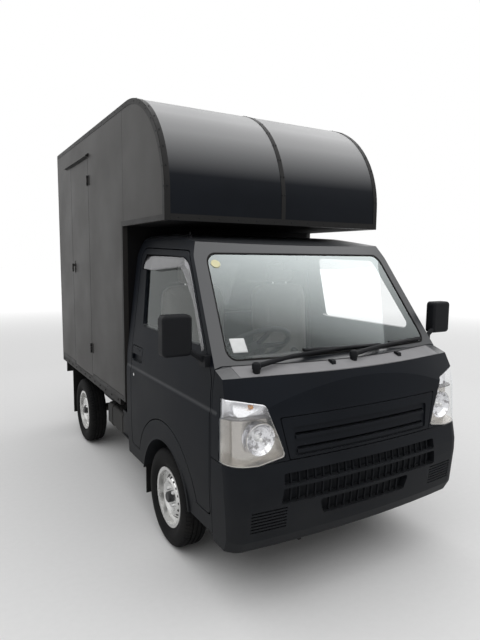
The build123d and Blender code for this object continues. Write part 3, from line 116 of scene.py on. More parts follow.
class Graph:
    """A node tree, and one method that adds a node to it."""

    def __init__(self, tree):
        self.tree = tree
        self.spot = None

    def node(self, kind, settings, inputs, output=0):
        """Adds a node: its type, its settings, then the values or links of its sockets.

        What it gives back is the value that leaves by the named output.
        """
        made = self.tree.nodes.new(kind)
        for key, value in settings.items():
            setattr(made, key, value)
        for key, value in inputs.items():
            self.join(made.inputs[key], value)
        return Value(self, made.outputs[output])

    def join(self, socket, value):
        if isinstance(value, Value):
            self.tree.links.new(value.socket, socket)
        else:
            socket.default_value = value

    def math(self, operation, a, b=0.0):
        return self.node("ShaderNodeMath", {"operation": operation}, {0: a, 1: b})

    def place(self):
        """Where a point of the surface is, in metres."""
        if self.spot is None:
            self.spot = self.node("ShaderNodeTexCoord", {}, {}, "Object")
        return self.spot

    def along(self, axis):
        return self.node("ShaderNodeSeparateXYZ", {}, {0: self.place()}, axis)

    def facing_up(self):
        """Upward share of the surface's direction: 1 on a level top, 0 on a wall."""
        normal = self.node("ShaderNodeNewGeometry", {}, {}, "Normal")
        return self.node("ShaderNodeSeparateXYZ", {}, {0: normal}, 2)

    def noise(self, scale, detail=2.0, stretch=(1, 1, 1)):
        place = self.node("ShaderNodeMapping", {}, {0: self.place(), 3: stretch})
        return self.node("ShaderNodeTexNoise", {}, {"Vector": place, "Scale": scale, "Detail": detail})

    def cells(self, scale):
        return self.node("ShaderNodeTexVoronoi", {}, {"Vector": self.place(), "Scale": scale})

    def fade(self, value, low, high, start=0.0, end=1.0):
        """Value moved from the range low to high onto start to end, and held there."""
        return self.node("ShaderNodeMapRange", {}, {0: value, 1: low, 2: high, 3: start, 4: end})

    def blend(self, mask, a, b):
        """Colour a where the mask is 0, colour b where it is 1."""
        return self.node("ShaderNodeMix", {"data_type": "RGBA"}, {0: mask, 6: a, 7: b}, 2)

    def seen(self):
        """1 for rays of the camera, of mirrors and of glass, 0 for rays that light a surface."""
        rays = ("Is Camera Ray", "Is Glossy Ray", "Is Transmission Ray")
        direct, mirrored, through = (self.node("ShaderNodeLightPath", {}, {}, ray) for ray in rays)
        return self.math("MINIMUM", direct + mirrored + through, 1.0)


class Finish(Graph):
    """One material: constants on its shader's sockets, and nodes for what varies."""

    def __init__(self, name, color, rough, metal=0.0, **constants):
        self.material = bpy.data.materials.new(name)
        self.material.use_nodes = True
        super().__init__(self.material.node_tree)
        self.shader = self.tree.nodes["Principled BSDF"]
        self.give("Base Color", (*color, 1.0))
        self.give("Roughness", rough)
        self.give("Metallic", metal)
        for socket, value in constants.items():
            self.give(socket.replace("_", " "), value)

    def give(self, socket, value):
        self.join(self.shader.inputs[socket], value)

    def rough(self, value, low, high, start, end):
        """Roughness goes from start to end as the value goes from low to high."""
        self.give("Roughness", self.fade(value, low, high, start, end))

    def bump(self, height, strength, distance):
        inputs = {"Strength": strength, "Distance": distance, "Height": height}
        self.give("Normal", self.node("ShaderNodeBump", {}, inputs))


def shade(color, factor=1.0):
    """Colour times a factor, opaque."""
    return (*(c * factor for c in color), 1.0)


print("shader helpers ready")

# %% [markdown]
# ## Paint
# The cab is sprayed with a matt film: no gloss, a fine grain, and a little road dust low down. The box
# panels are smoother and pick up more of the sky. Dust is a wide soft noise, stronger near the ground,
# and the grain is a fine noise that feeds the bump and the roughness.

# %% Paint finishes
ROAD_DUST = (0.10, 0.095, 0.085)
CREASE_PALE_LINE = (0.050, 0.052, 0.056)
CREASE_Z = 0.911
CREASE_FRONT = -1.50


def painted(name, color, rough, spec, coat_from, coat_to, grain=900.0, relief=0.00012, dust=0.5,
            ledge=0.0, crown=1.0):
    """Paint film: colour varied by wide noise, dust below 0.95 m, fine grain in the bump.

    The film shines where it faces the sky: its coat grows from an upward share coat_from to coat_to.
    crown is how much of the coat is left where the film lies level. ledge is the height of a crease
    along the doors, along which a thin pale line runs.
    """
    finish = Finish(name, color, rough, Specular_IOR_Level=spec, Coat_Roughness=0.34, Coat_IOR=1.9)
    cloud = finish.noise(3.0, 5.0)
    low = finish.fade(finish.along(2), 0.95, 0.15)
    mask = cloud * low * dust
    clean = finish.blend(finish.fade(cloud, 0.3, 0.7), shade(color, 0.85), shade(color, 1.15))
    if ledge:
        off = finish.math("ABSOLUTE", finish.along(2) - ledge)
        # A thin pale line along the crease on the doors.
        on_ledge = finish.fade(off, 0.013, 0.002) * (finish.along(1) > CREASE_FRONT)
        clean = finish.blend(on_ledge, clean, shade(CREASE_PALE_LINE))
    finish.give("Base Color", finish.blend(mask, clean, shade(ROAD_DUST)))
    fine = finish.noise(grain, 2.0)
    finish.rough(cloud + fine * 0.3 + mask, 0.3, 1.1, rough - 0.05, rough + 0.14)
    up = finish.facing_up()
    coat = finish.fade(up, coat_from, coat_to) * finish.fade(up, 0.78, 1.0, 1.0, crown)
    finish.give("Coat Weight", coat)
    finish.bump(fine, 0.35, relief)
    return finish.material


CAB_BLACK = (0.0060, 0.0075, 0.0105)
BOX_BLACK = (0.0190, 0.0178, 0.0168)
cab_paint = painted("cab_matt_black", CAB_BLACK, 0.46, 0.07, 0.47, 0.67, dust=0.25, ledge=CREASE_Z)
box_paint = painted("box_panel_black", BOX_BLACK, 0.42, 0.24, 0.40, 0.80, grain=500.0, relief=0.00006,
                    dust=0.15)
nose_paint = painted("nose_panel_black", CAB_BLACK, 0.33, 0.07, 0.18, 0.58, grain=500.0, relief=0.00005,
                     dust=0.0, crown=0.12)
inner_wall = painted("box_underside", (0.004, 0.004, 0.0045), 0.7, 0.1, 0.9, 1.0, dust=0.1)
rail_paint = painted("rail_grey", (0.010, 0.0095, 0.0095), 0.45, 0.10, 0.6, 0.9, dust=0.2)
chassis_paint = painted("chassis_black", (0.007, 0.007, 0.0075), 0.55, 0.2, 0.9, 1.0, grain=300.0,
                        relief=0.0003, dust=0.3)
print("paints", len(bpy.data.materials))

# %% [markdown]
# ## Metals
# Castings are rough from the sand mould, exhaust tube is drawn and heat-stained, wheels are painted
# silver with a black cap in the middle, and the trims are anodised extrusions with fine lines along
# their length. The cap shares the wheel's solid, so a mask made from the distance to the axle darkens it.

# %% Metal finishes
AXLES = {"front": -0.8875, "rear": 1.0175}
HALF_TRACK = {"front": 0.6525, "rear": 0.645}
TYRE_RADIUS = 0.268
DISC_DEPTH = 0.004
CAP_RADIUS = 0.0315
HOLES, HOLE_RING, HOLE_SHADOW_HALF, HOLE_SPREAD = 16, 0.111, 0.0112, 1.18
RUST, BRAKE_DUST = (0.070, 0.055, 0.044), (0.24, 0.225, 0.205)


def cast(name, color, rough):
    """Sand casting: coarse cells in the bump, stains from wide noise."""
    finish = Finish(name, color, rough, 0.4)
    stain = finish.noise(14.0, 6.0)
    finish.give("Base Color", finish.blend(stain, shade(color, 0.55), shade(RUST)))
    finish.rough(stain, 0.3, 0.7, rough, rough + 0.2)
    finish.bump(finish.cells(260.0), 0.5, 0.0006)
    return finish.material


def drawn(name, color, rough, metal, stretch, spec=0.5):
    """Drawn or extruded metal: noise pulled out along one axis."""
    finish = Finish(name, color, rough, metal, Specular_IOR_Level=spec)
    lines = finish.noise(700.0, 3.0, stretch)
    cloud = finish.noise(5.0, 4.0)
    finish.give("Base Color", finish.blend(cloud, shade(color, 0.8), shade(color, 1.2)))
    finish.rough(lines + cloud, 0.6, 1.4, rough - 0.06, rough + 0.12)
    finish.bump(lines, 0.25, 0.0001)
    return finish.material


def wheel_silver(name, axle_y, half_track):
    """Silver lacquer: black cap within 31.5 mm of the axle, painted shade behind the disc, painted shadow
    in and round its holes.

    Fine rings follow the distance to the axle, which is the root of y squared plus z squared. The painted
    hole shadows are 16 ovals 111 mm from the axle, a little larger than the cut holes: the cosine of 16
    times the angle about the axle is 1 at each, and the spread makes an oval narrower as it grows.
    """
    silver = (0.70, 0.70, 0.69)
    finish = Finish(name, silver, 0.30, 0.8)
    y = finish.along(1) - axle_y
    z = finish.along(2) - TYRE_RADIUS
    distance = (y * y + z * z) ** 0.5
    # Painted shade: the rim behind the disc is coloured near black.
    behind = finish.math("ABSOLUTE", finish.along(0)) < half_track - DISC_DEPTH
    # Painted shadow: ovals a little larger than the cut holes are coloured near black.
    across = (distance - HOLE_RING) / HOLE_SHADOW_HALF
    along = HOLE_SPREAD * (1.0 - finish.math("COSINE", HOLES * finish.math("ARCTAN2", z, y)))
    painted_hole_shadow = across * across + along < 1.0
    dark = finish.math("MAXIMUM", finish.math("MAXIMUM", distance < CAP_RADIUS, behind), painted_hole_shadow)
    cloud = finish.noise(9.0, 3.0) * finish.fade(distance, 0.09, 0.16, 0.5, 1.0)
    grime = finish.fade(cloud, 0.30, 0.80, 0.0, 0.28)
    metal = finish.blend(grime, shade(silver), shade(BRAKE_DUST))
    finish.give("Base Color", finish.blend(dark, metal, shade((0.008, 0.008, 0.009))))
    finish.give("Metallic", (1.0 - dark) * finish.fade(grime, 0.0, 0.28, 0.88, 0.70))
    finish.rough(grime + dark * 0.3, 0.0, 0.7, 0.24, 0.60)
    rings = finish.math("SINE", distance * 4200.0)
    finish.bump(rings + finish.noise(420.0, 3.0), 0.12, 0.0001)
    return finish.material


cast_iron = cast("cast_iron", (0.070, 0.070, 0.070), 0.6)
engine_alloy = cast("engine_alloy", (0.26, 0.26, 0.26), 0.5)
pipe_steel = drawn("pipe_steel", (0.30, 0.27, 0.24), 0.42, 0.9, (1, 0.02, 1))
trim_alloy = drawn("trim_anodised", (0.014, 0.0138, 0.0138), 0.42, 0.0, (1, 0.03, 1), spec=0.12)
bright_steel = drawn("bright_steel", (0.60, 0.60, 0.60), 0.30, 0.9, (1, 0.2, 1))
silver = {axle: wheel_silver("wheel_silver_" + axle, y, HALF_TRACK[axle]) for axle, y in AXLES.items()}
print("metals", cast_iron.name, pipe_steel.name, trim_alloy.name)

# %% [markdown]
# ## Plastics, rubber and cloth
# Moulded plastic has a leather-like grain, made of small cells. Rubber is duller, with dust in it. The
# seat cloth is a plain weave: two sine waves at right angles, whose product gives over and under.


# %% Soft and moulded finishes
def moulded(name, color, rough, grain=1100.0, relief=0.00018):
    """Moulded plastic: cells for the grain, wide noise for handling marks."""
    finish = Finish(name, color, rough, Specular_IOR_Level=0.1)
    cloud = finish.noise(9.0, 4.0)
    finish.give("Base Color", finish.blend(cloud, shade(color, 0.8), shade(color, 1.25)))
    finish.rough(cloud, 0.3, 0.7, rough - 0.06, rough + 0.08)
    finish.bump(finish.cells(grain), 0.4, relief)
    return finish.material


def dusty_rubber(name, color, rough):
    """Rubber: grey dust where a wide and a fine noise meet."""
    finish = Finish(name, color, rough, Specular_IOR_Level=0.1)
    dust = finish.noise(7.0, 5.0) * finish.noise(160.0, 3.0)
    grey = shade((0.020, 0.019, 0.018))
    finish.give("Base Color", finish.blend(finish.fade(dust, 0.2, 0.5), shade(color), grey))
    finish.rough(dust, 0.1, 0.5, rough, rough + 0.15)
    finish.bump(finish.noise(900.0, 2.0), 0.3, 0.0002)
    return finish.material


def woven(name, color):
    """Plain weave: sine of the place along two directions, multiplied."""
    finish = Finish(name, color, 0.85, Sheen_Weight=0.4, Sheen_Roughness=0.5)
    across = finish.math("SINE", finish.along(0) * 2600.0)
    length = finish.math("SINE", (finish.along(1) + finish.along(2)) * 2600.0)
    weave = finish.fade(across * length, -1.0, 1.0)
    cloud = finish.noise(12.0, 4.0)
    finish.give("Base Color", finish.blend(weave * 0.6 + cloud * 0.4, shade(color, 0.6), shade(color, 1.3)))
    finish.rough(cloud, 0.3, 0.7, 0.78, 0.92)
    finish.bump(weave, 0.5, 0.0005)
    return finish.material


black_plastic = moulded("black_plastic", (0.0085, 0.0090, 0.0105), 0.5)
dash_plastic = moulded("dash_plastic", (0.075, 0.075, 0.075), 0.6)
cowl_plastic = moulded("cowl_plastic", (0.235, 0.233, 0.240), 0.55)
rubber = dusty_rubber("black_rubber", (0.008, 0.008, 0.008), 0.62)
tyre_rubber = dusty_rubber("tyre_rubber", (0.0055, 0.0057, 0.0062), 0.70)
seat_cloth = woven("seat_cloth", (0.13, 0.125, 0.115))
print("soft and moulded finishes ready")

# %% [markdown]
# ## Glass and lamps
# Window glass is a clear sheet that mirrors the sky a little and tints what is behind it. It is made
# with a low alpha instead of refraction, so that daylight still reaches the seats. Reflectors are
# bright metal with upright flutes, and the rear lamps have three coloured fields.

# %% Glass and lamp finishes
BOWL_X, BOWL_Z, BOWL_RADIUS = 0.580, 0.806, 0.0705
SHELF_UP = 0.093
FLUTE = 0.006
PLATED, WARM, DARK = (0.78, 0.78, 0.80), (0.50, 0.475, 0.44), (0.12, 0.11, 0.105)
RED, AMBER, PALE = (0.42, 0.012, 0.014), (0.62, 0.17, 0.015), (0.6, 0.6, 0.6)
AMBER_FROM, RED_FROM = 0.54, 0.62


def clear(name, color, alpha, index, rough=0.02, painted_sky_reflection=0.0):
    """Clear sheet: it covers what is behind it by a base share, more where the Fresnel share grows.

    The face that a ray leaves by adds nothing. The last argument adds a painted sky reflection to the base
    share, growing from the lower right corner of the windscreen to its upper left.
    """
    finish = Finish(name, color, rough, 1.0)
    mirror = finish.node("ShaderNodeFresnel", {}, {"IOR": index})
    dust = finish.noise(2.5, 3.0)
    film = finish.fade(dust, 0.35, 0.75, alpha, alpha + 0.015)
    # Painted sky reflection: the pale mirror sheet covers more towards the windscreen's upper left.
    if painted_sky_reflection:
        film = film + finish.fade(finish.along(2) + finish.along(0) * 0.22, 1.15, 1.62, 0.0, painted_sky_reflection)
    leaving = finish.node("ShaderNodeNewGeometry", {}, {}, "Backfacing")
    finish.give("Alpha", finish.math("MINIMUM", film + mirror, 1.0) * (1.0 - leaving))
    finish.rough(dust, 0.35, 0.75, rough, rough + 0.015)
    return finish.material


def fluted_chrome(name):
    """Vacuum-plated reflector: a sine of x makes upright flutes 6 mm apart.

    Below the shelf, 93 mm above the bowl's middle, the housing is warmer in colour, apart from the
    bowl, a circle of 70 mm radius with painted dark reflections in it. The shelf's edge is a dark line.
    """
    finish = Finish(name, PLATED, 0.14, 0.90)
    x = finish.math("ABSOLUTE", finish.along(0)) - BOWL_X
    z = finish.along(2) - BOWL_Z
    outside = (x * x + z * z) ** 0.5 > BOWL_RADIUS
    # Painted reflection: dark mottles inside the bowl.
    painted_reflection = finish.fade(finish.noise(45.0), 0.50, 0.64, 0.0, 0.7) * (1.0 - outside)
    edge = finish.fade(finish.math("ABSOLUTE", z - SHELF_UP), 0.0045, 0.0025)
    field = finish.blend(outside * (z < SHELF_UP), shade(PLATED), shade(WARM))
    finish.give("Base Color", finish.blend(finish.math("MAXIMUM", painted_reflection, edge), field, shade(DARK)))
    flutes = finish.math("SINE", finish.along(0) * (2 * np.pi / FLUTE))
    cloud = finish.noise(30.0, 3.0)
    finish.rough(cloud, 0.3, 0.7, 0.12, 0.22)
    finish.bump(flutes, 0.35, 0.0006)
    return finish.material


def rear_lens(name):
    """Three fields side by side: red outside, amber between, clear inside, with fine prisms."""
    finish = Finish(name, (0.35, 0.01, 0.012), 0.16, Coat_Weight=0.6, Coat_Roughness=0.06)
    x = finish.math("ABSOLUTE", finish.along(0))
    inner = finish.blend(x > AMBER_FROM, shade(PALE), shade(AMBER))
    fields = finish.blend(x > RED_FROM, inner, shade(RED))
    prisms = finish.math("SINE", finish.along(0) * 1600.0) * finish.math("SINE", finish.along(2) * 1600.0)
    finish.give("Base Color", fields)
    finish.rough(finish.noise(40.0, 3.0), 0.3, 0.7, 0.12, 0.24)
    finish.bump(prisms, 0.4, 0.0006)
    return finish.material


window_glass = clear("window_glass", (0.66, 0.70, 0.69), 0.03, 1.45)
screen_glass = clear("windscreen_glass", (0.78, 0.85, 0.85), 0.01, 1.40, painted_sky_reflection=0.34)
lamp_cover = clear("lamp_cover", (0.80, 0.83, 0.86), 0.05, 1.50)
smoke = clear("smoke_visor", (0.30, 0.30, 0.31), 0.42, 1.50, 0.08)
chrome = fluted_chrome("lamp_reflector")
tail_lens = rear_lens("rear_lamp_lens")
print("glass and lamps ready")

# %% [markdown]
# ## Give each CAD node its finish
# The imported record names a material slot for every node. A table turns slot names into finishes, and
# a few nodes get their own: the nose panels shine more than the box sides.

# %% Finish of each node
SLOT_FINISH = {
    "body_black": cab_paint,
    "box_black": box_paint,
    "box_dark": inner_wall,
    "trim_black": trim_alloy,
    "rail_grey": rail_paint,
    "chassis_black": chassis_paint,
    "cast_grey": cast_iron,
    "engine_grey": engine_alloy,
    "exhaust_steel": pipe_steel,
    "plastic_black": black_plastic,
    "plastic_grey": dash_plastic,
    "cowl_grey": cowl_plastic,
    "seat_fabric": seat_cloth,
    "rubber": rubber,
    "tyre": tyre_rubber,
    "rim_silver": silver["front"],
    "glass": window_glass,
    "lens": lamp_cover,
    "reflector": chrome,
    "tail_red": tail_lens,
}
OWN_FINISH = {
    "nose_panels": nose_paint,
    "windscreen": screen_glass,
    "rim_rear_left": silver["rear"],
    "rim_rear_right": silver["rear"],
}
slot_of = {part["node"]: part["material_slot"] for part in frame["record"]["subparts"]}
for name, node in nodes.items():
    node.data.materials.clear()
    node.data.materials.append(OWN_FINISH.get(name, SLOT_FINISH[slot_of[name]]))
print("finished", len(nodes), "nodes")

# %% [markdown]
# ## From grids to meshes
# Every new piece is a surface worked out with numpy: a grid of points, rows by columns, or many such
# grids at once for rivets and nuts. Repeated points at poles and seams are merged, and the faces of a
# closed surface are turned outwards. Most pieces ride the chassis and close round themselves, so those
# are the values that a piece has when none is given.


# %% Surface helpers
def piece(name, grids, finish, body="chassis", around=True, closed=True, thick=0.0):
    """One object from grids shaped (rows, columns, 3) or (copies, rows, columns, 3).

    around joins the last column to the first. thick gives an open sheet its wall.
    """
    grids = np.asarray(grids, float)
    grids = grids[None] if grids.ndim == 3 else grids
    copies, rows, columns = grids.shape[:3]
    r, c = np.meshgrid(np.arange(rows - 1), np.arange(columns if around else columns - 1), indexing="ij")
    r, c, next_c = r.ravel(), c.ravel(), (c.ravel() + 1) % columns
    here, below = r * columns, (r + 1) * columns
    quads = np.stack([here + c, here + next_c, below + next_c, below + c], -1)
    faces = (quads[None] + (np.arange(copies) * rows * columns)[:, None, None]).reshape(-1, 4)
    mesh = bpy.data.meshes.new(name)
    mesh.from_pydata(grids.reshape(-1, 3).tolist(), [], faces.tolist())
    welded = bmesh.new()
    welded.from_mesh(mesh)
    bmesh.ops.remove_doubles(welded, verts=welded.verts, dist=2e-6)
    if closed:
        bmesh.ops.recalc_face_normals(welded, faces=welded.faces)
    welded.to_mesh(mesh)
    welded.free()
    mesh.shade_smooth()
    mesh.set_sharp_from_angle(angle=np.radians(38))
    mesh.materials.append(finish)
    made = bpy.data.objects.new(name, mesh)
    scene.collection.objects.link(made)
    if thick:
        wall = made.modifiers.new("wall", "SOLIDIFY")
        wall.thickness = thick
        wall.offset = 0
    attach(made, body)
    print(name, "faces", len(mesh.polygons))
    return made


def xyz(x, y, z):
    """Points from three coordinates, each a number or an array, spread to one shape."""
    return np.stack(np.broadcast_arrays(x, y, z), -1)


def circle(count):
    """Angles at even steps once round."""
    return np.arange(count) * 2 * np.pi / count


def frames(normals):
    """Two directions across each normal, for arrays of normals shaped (copies, 3)."""
    n = np.asarray(normals, float)
    n = n / np.linalg.norm(n, axis=1, keepdims=True)
    helper = np.where(np.abs(n[:, 2:3]) < 0.9, [[0.0, 0.0, 1.0]], [[1.0, 0.0, 0.0]])
    e1 = np.cross(helper, n)
    e1 = e1 / np.linalg.norm(e1, axis=1, keepdims=True)
    return e1, np.cross(n, e1), n


def stood(grid, places, normals):
    """Copies of a grid drawn at the origin, z outwards, stood on places along one normal or one each."""
    places = np.atleast_2d(places)
    e1, e2, n = (v[:, None, None] for v in frames(np.broadcast_to(normals, places.shape)))
    return places[:, None, None] + grid[..., 0:1] * e1 + grid[..., 1:2] * e2 + grid[..., 2:3] * n


def turned(profile, sides):
    """Grid of a profile of (radius, height) points turned about z."""
    profile = np.asarray(profile, float)
    radius, height = profile[:, None, 0], profile[:, None, 1]
    return xyz(radius * np.cos(circle(sides)), radius * np.sin(circle(sides)), height)


def tube(path, radii, sides):
    """Grid of a round bar carried along a path, closed at both ends by a point."""
    tangent = np.gradient(path, axis=0)
    e1, e2, _ = frames(tangent)
    angle = circle(sides)[:, None]
    radii = np.broadcast_to(radii, len(path))[:, None, None]
    ring = np.cos(angle) * e1[:, None] + np.sin(angle) * e2[:, None]
    body = path[:, None] + radii * ring
    return np.concatenate([np.repeat(path[None, :1], sides, 1), body, np.repeat(path[None, -1:], sides, 1)])


def soft_box(centre, size, power, rows, columns, bend=None):
    """Rounded box: a sphere's sines and cosines raised to a small power."""
    v = np.linspace(-np.pi / 2, np.pi / 2, rows)[:, None]
    u = circle(columns)[None]

    def lifted(x):
        return np.sign(x) * np.abs(x) ** power

    wide = lifted(np.cos(v))
    grid = xyz(wide * lifted(np.cos(u)), wide * lifted(np.sin(u)), lifted(np.sin(v))) * size / 2
    if bend is not None:
        grid = grid @ bend.T
    return grid + centre


def plate(edge, thick, bevel):
    """Flat plate from a closed edge of (x, y) points, z outwards, with a bevelled rim."""
    middle = edge.mean(0)
    inner = middle + (edge - middle) * (1 - bevel / np.abs(edge - middle).max())
    centre = middle + 0 * edge
    rings = [(centre, thick), (inner, thick), (edge, thick - bevel), (edge, 0), (centre, 0)]
    return np.stack([xyz(ring[:, 0], ring[:, 1], z) for ring, z in rings])


def rounded_edge(width, height, radius, steps=6):
    """Rectangle edge with round corners, anticlockwise."""
    angle = np.linspace(0, np.pi / 2, steps)
    corners = []
    for quarter, (sx, sy) in enumerate(((1, 1), (-1, 1), (-1, -1), (1, -1))):
        turn = angle + quarter * np.pi / 2
        x = sx * (width / 2 - radius) + radius * np.cos(turn)
        y = sy * (height / 2 - radius) + radius * np.sin(turn)
        corners.append(np.stack([x, y], -1))
    return np.concatenate(corners)


def smoothed(points, rounds=3):
    """Corner cutting: each run is replaced by points at its quarter and three quarters."""
    points = np.asarray(points, float)
    for _ in range(rounds):
        a, b = points[:-1], points[1:]
        mixed = np.stack([0.75 * a + 0.25 * b, 0.25 * a + 0.75 * b], 1).reshape(-1, points.shape[1])
        points = np.concatenate([points[:1], mixed, points[-1:]])
    return points


def evenly(run, count):
    """A run of points replaced by count points at even steps of its length."""
    steps = np.linalg.norm(np.diff(run, axis=0), axis=1)
    length = np.concatenate([[0], np.cumsum(steps)])
    even = np.linspace(0, length[-1], count)
    return np.stack([np.interp(even, length, column) for column in run.T], -1)


def touch(node, start, towards):
    """Point and outward direction where a straight line from start first meets a CAD node."""
    found, spot, normal, _ = nodes[node].ray_cast(start, towards)
    if not found:
        raise ValueError("the line misses " + node)
    return np.array(spot), np.array(normal)


SIDES = ((1, "left"), (-1, "right"))
bpy.context.view_layer.update()
print("surface helpers ready")

# %% [markdown]
# ## Tyres
# A tyre's tread has three grooves round it and short cuts across each shoulder. The solid tyre is
# smooth, so a new surface with the same section takes its place: the section is carried round the
# axle, and the radius drops by the groove's depth where a groove or cut is.

# %% Tyres
HALF_TYRE = 0.0725
SIDEWALL = [(-0.0505, 0.1526), (-0.0510, 0.167), (-0.0575, 0.172), (-0.0640, 0.184), (-0.0722, 0.206),
            (-0.0722, 0.222), (-0.0690, 0.240), (-0.0600, 0.260), (-0.0500, 0.2665), (-0.0440, 0.2678)]
GROOVES = (-0.026, 0.0, 0.026)
GROOVE_DEPTH = 0.007
CUTS = 72
RINGS = ((0.177, 0.0010), (0.198, 0.0006), (0.243, 0.0009), (0.249, 0.0007))
wall = evenly(smoothed(SIDEWALL, 2), 52)
for ring_radius, height in RINGS:
    wall[:, 0] -= height * np.exp(-((wall[:, 1] - ring_radius) / 0.0016) ** 2)
wall[:, 0] = np.maximum(wall[:, 0], -HALF_TYRE)
middle = [(c + d, TYRE_RADIUS - 0.0002 - depth) for c in GROOVES
          for d, depth in ((-0.0042, 0), (-0.0034, GROOVE_DEPTH), (0.0034, GROOVE_DEPTH), (0.0042, 0))]
section = np.concatenate([wall, np.array(middle), wall[::-1] * [-1, 1], wall[:1]])
step = np.arange(CUTS * 4)[:, None]
angle = circle(CUTS * 4)[:, None]
x, radius = section[None, :, 0], section[None, :, 1]
shoulder = (np.abs(x) > 0.036) & (radius > 0.255)
centre_block = (np.abs(x) < 0.024) & (radius > 0.266)
cut = shoulder & (step % 4 == 0)
centre_cut = centre_block & (step % 8 == 2)
radius = radius - 0.005 * cut - 0.003 * centre_cut
tyre = xyz(x, radius * np.cos(angle), radius * np.sin(angle))
tyre = np.concatenate([tyre, tyre[:1]])
for axle, axle_y in AXLES.items():
    for side, word in SIDES:
        corner = axle + "_" + word
        grid = tyre * [side, 1, 1] + [side * HALF_TRACK[axle], axle_y, TYRE_RADIUS]
        made = piece("tread_" + corner, grid, tyre_rubber, "wheel_" + corner, around=False)
        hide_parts("tyre_" + corner)

# %% [markdown]
# ## Wheel nuts
# Four nuts hold each wheel. One nut is a six-sided profile turned about its own axis, and the four are
# stood on the wheel's bolt circle by one array sum.

# %% Wheel nuts
NUT = [(0, 0.014), (0.005, 0.014), (0.0056, 0.0125), (0.0088, 0.0115), (0.0102, 0.009), (0.0102, 0), (0, 0)]
BOLT_CIRCLE = 0.049
FACE_OFFSET = 0.038
bolts = circle(4) + np.pi / 4
for axle, axle_y in AXLES.items():
    for side, word in SIDES:
        corner = axle + "_" + word
        face_x = side * (HALF_TRACK[axle] + FACE_OFFSET)
        spots = xyz(face_x, axle_y + BOLT_CIRCLE * np.cos(bolts), TYRE_RADIUS + BOLT_CIRCLE * np.sin(bolts))
        nuts = stood(turned(NUT, 6), spots, (side, 0, 0))
        piece("nuts_" + corner, nuts, bright_steel, "wheel_" + corner)

# %% [markdown]
# ## Rivets and buffers
# The edge trims of the box are held by rivets, along the side flanges, round the nose and along its
# foot. A rivet is a low dome. Its place along the nose is the angle on the nose's quarter circle.

# %% Rivets
RIVET = turned([(0, 0.0018), (0.002, 0.0016), (0.0036, 0.0009), (0.0044, 0), (0, 0)], 10)
NOSE_Y, NOSE_Z, NOSE_RADIUS, FLANGE_RADIUS = -0.3425, 1.910, 0.597, 0.580
NOSE_FACE, FOOT_Z = -0.936, 1.797
EDGE_X, SEAM_X, FLANGE_X = 0.721, 0.009, 0.737
FLANGE_TOP, FLANGE_LOW = 2.490, 0.665
# Where the low trim's rivets end, and their number: on the right they stop at the side door.
LOW_END = {1: (1.60, 11), -1: (0.54, 5)}
fan = np.radians(np.linspace(176, 104, 8))
foot_x = np.linspace(-0.66, 0.66, 12)
spots, normals = [], []
for x in (-EDGE_X, EDGE_X, -SEAM_X, SEAM_X):
    spots.append(xyz(x, NOSE_Y + NOSE_RADIUS * np.cos(fan), NOSE_Z + NOSE_RADIUS * np.sin(fan)))
    normals.append(xyz(0, np.cos(fan), np.sin(fan)))
spots.append(xyz(foot_x, NOSE_FACE, FOOT_Z))
normals.append(np.tile([0, -1, 0], (len(foot_x), 1)))
for side in (-1, 1):
    x = side * FLANGE_X
    end_y, count = LOW_END[side]
    spots.append(xyz(x, np.linspace(-0.28, 1.60, 13), FLANGE_TOP))
    spots.append(xyz(x, NOSE_Y + FLANGE_RADIUS * np.cos(fan), NOSE_Z + FLANGE_RADIUS * np.sin(fan)))
    spots.append(xyz(x, np.linspace(-0.20, end_y, count), FLANGE_LOW))
    normals.append(np.tile([side, 0, 0], (13 + len(fan) + count, 1)))
rivets = stood(RIVET, np.concatenate(spots), np.concatenate(normals))
piece("trim_rivets", rivets, black_plastic)

BUFFER = turned([(0, 0.004), (0.004, 0.0038), (0.0068, 0.002), (0.007, 0), (0, 0)], 12)
RAIL_X, BUFFER_Z = 0.733, 0.627
buffer_y = np.linspace(-0.07, 1.58, 12)
buffers = [stood(BUFFER, xyz(side * RAIL_X, buffer_y, BUFFER_Z), (side, 0, 0)) for side in (-1, 1)]
piece("rail_buffers", np.concatenate(buffers), rubber)

# %% [markdown]
# ## Mirror glass, key discs and window visors
# These ride on the doors. The mirror glass is a thin plate in the recess of its head. The visor is a
# smoked sheet over the top of the window: its outer edge lies on the door's frame, and it stands off
# towards the glass, so it is drawn as a strip along the window's edge that bulges outwards.

# %% Mirror glass and key discs
mirror_finish = Finish("mirror_silver", (0.82, 0.84, 0.86), 0.04, 1.0)
mirror_finish.rough(mirror_finish.noise(8.0, 4.0), 0.3, 0.7, 0.03, 0.08)
MIRROR_PLATE = plate(rounded_edge(0.120, 0.164, 0.022), 0.002, 0.001)
MIRROR_X, MIRROR_Y, MIRROR_Z = 0.860, -1.3308, 1.246
KEY_DISC = [(0, 0.0004), (0.0034, 0.0004), (0.0038, 0.0016), (0.0078, 0.0016), (0.0092, 0.0008),
            (0.0092, -0.001), (0, -0.001)]
for side, word in SIDES:
    glass = stood(MIRROR_PLATE, (side * MIRROR_X, MIRROR_Y, MIRROR_Z), (0, 1, 0))
    piece("mirror_glass_" + word, glass, mirror_finish.material, "door_" + word)
    spot, _ = touch("cab_door_" + word, (side * 0.9, -0.412, 0.870), (-side, 0, 0))
    disc = stood(turned(KEY_DISC, 28), spot, (side, 0, 0))
    piece("key_disc_" + word, disc, bright_steel, "door_" + word)

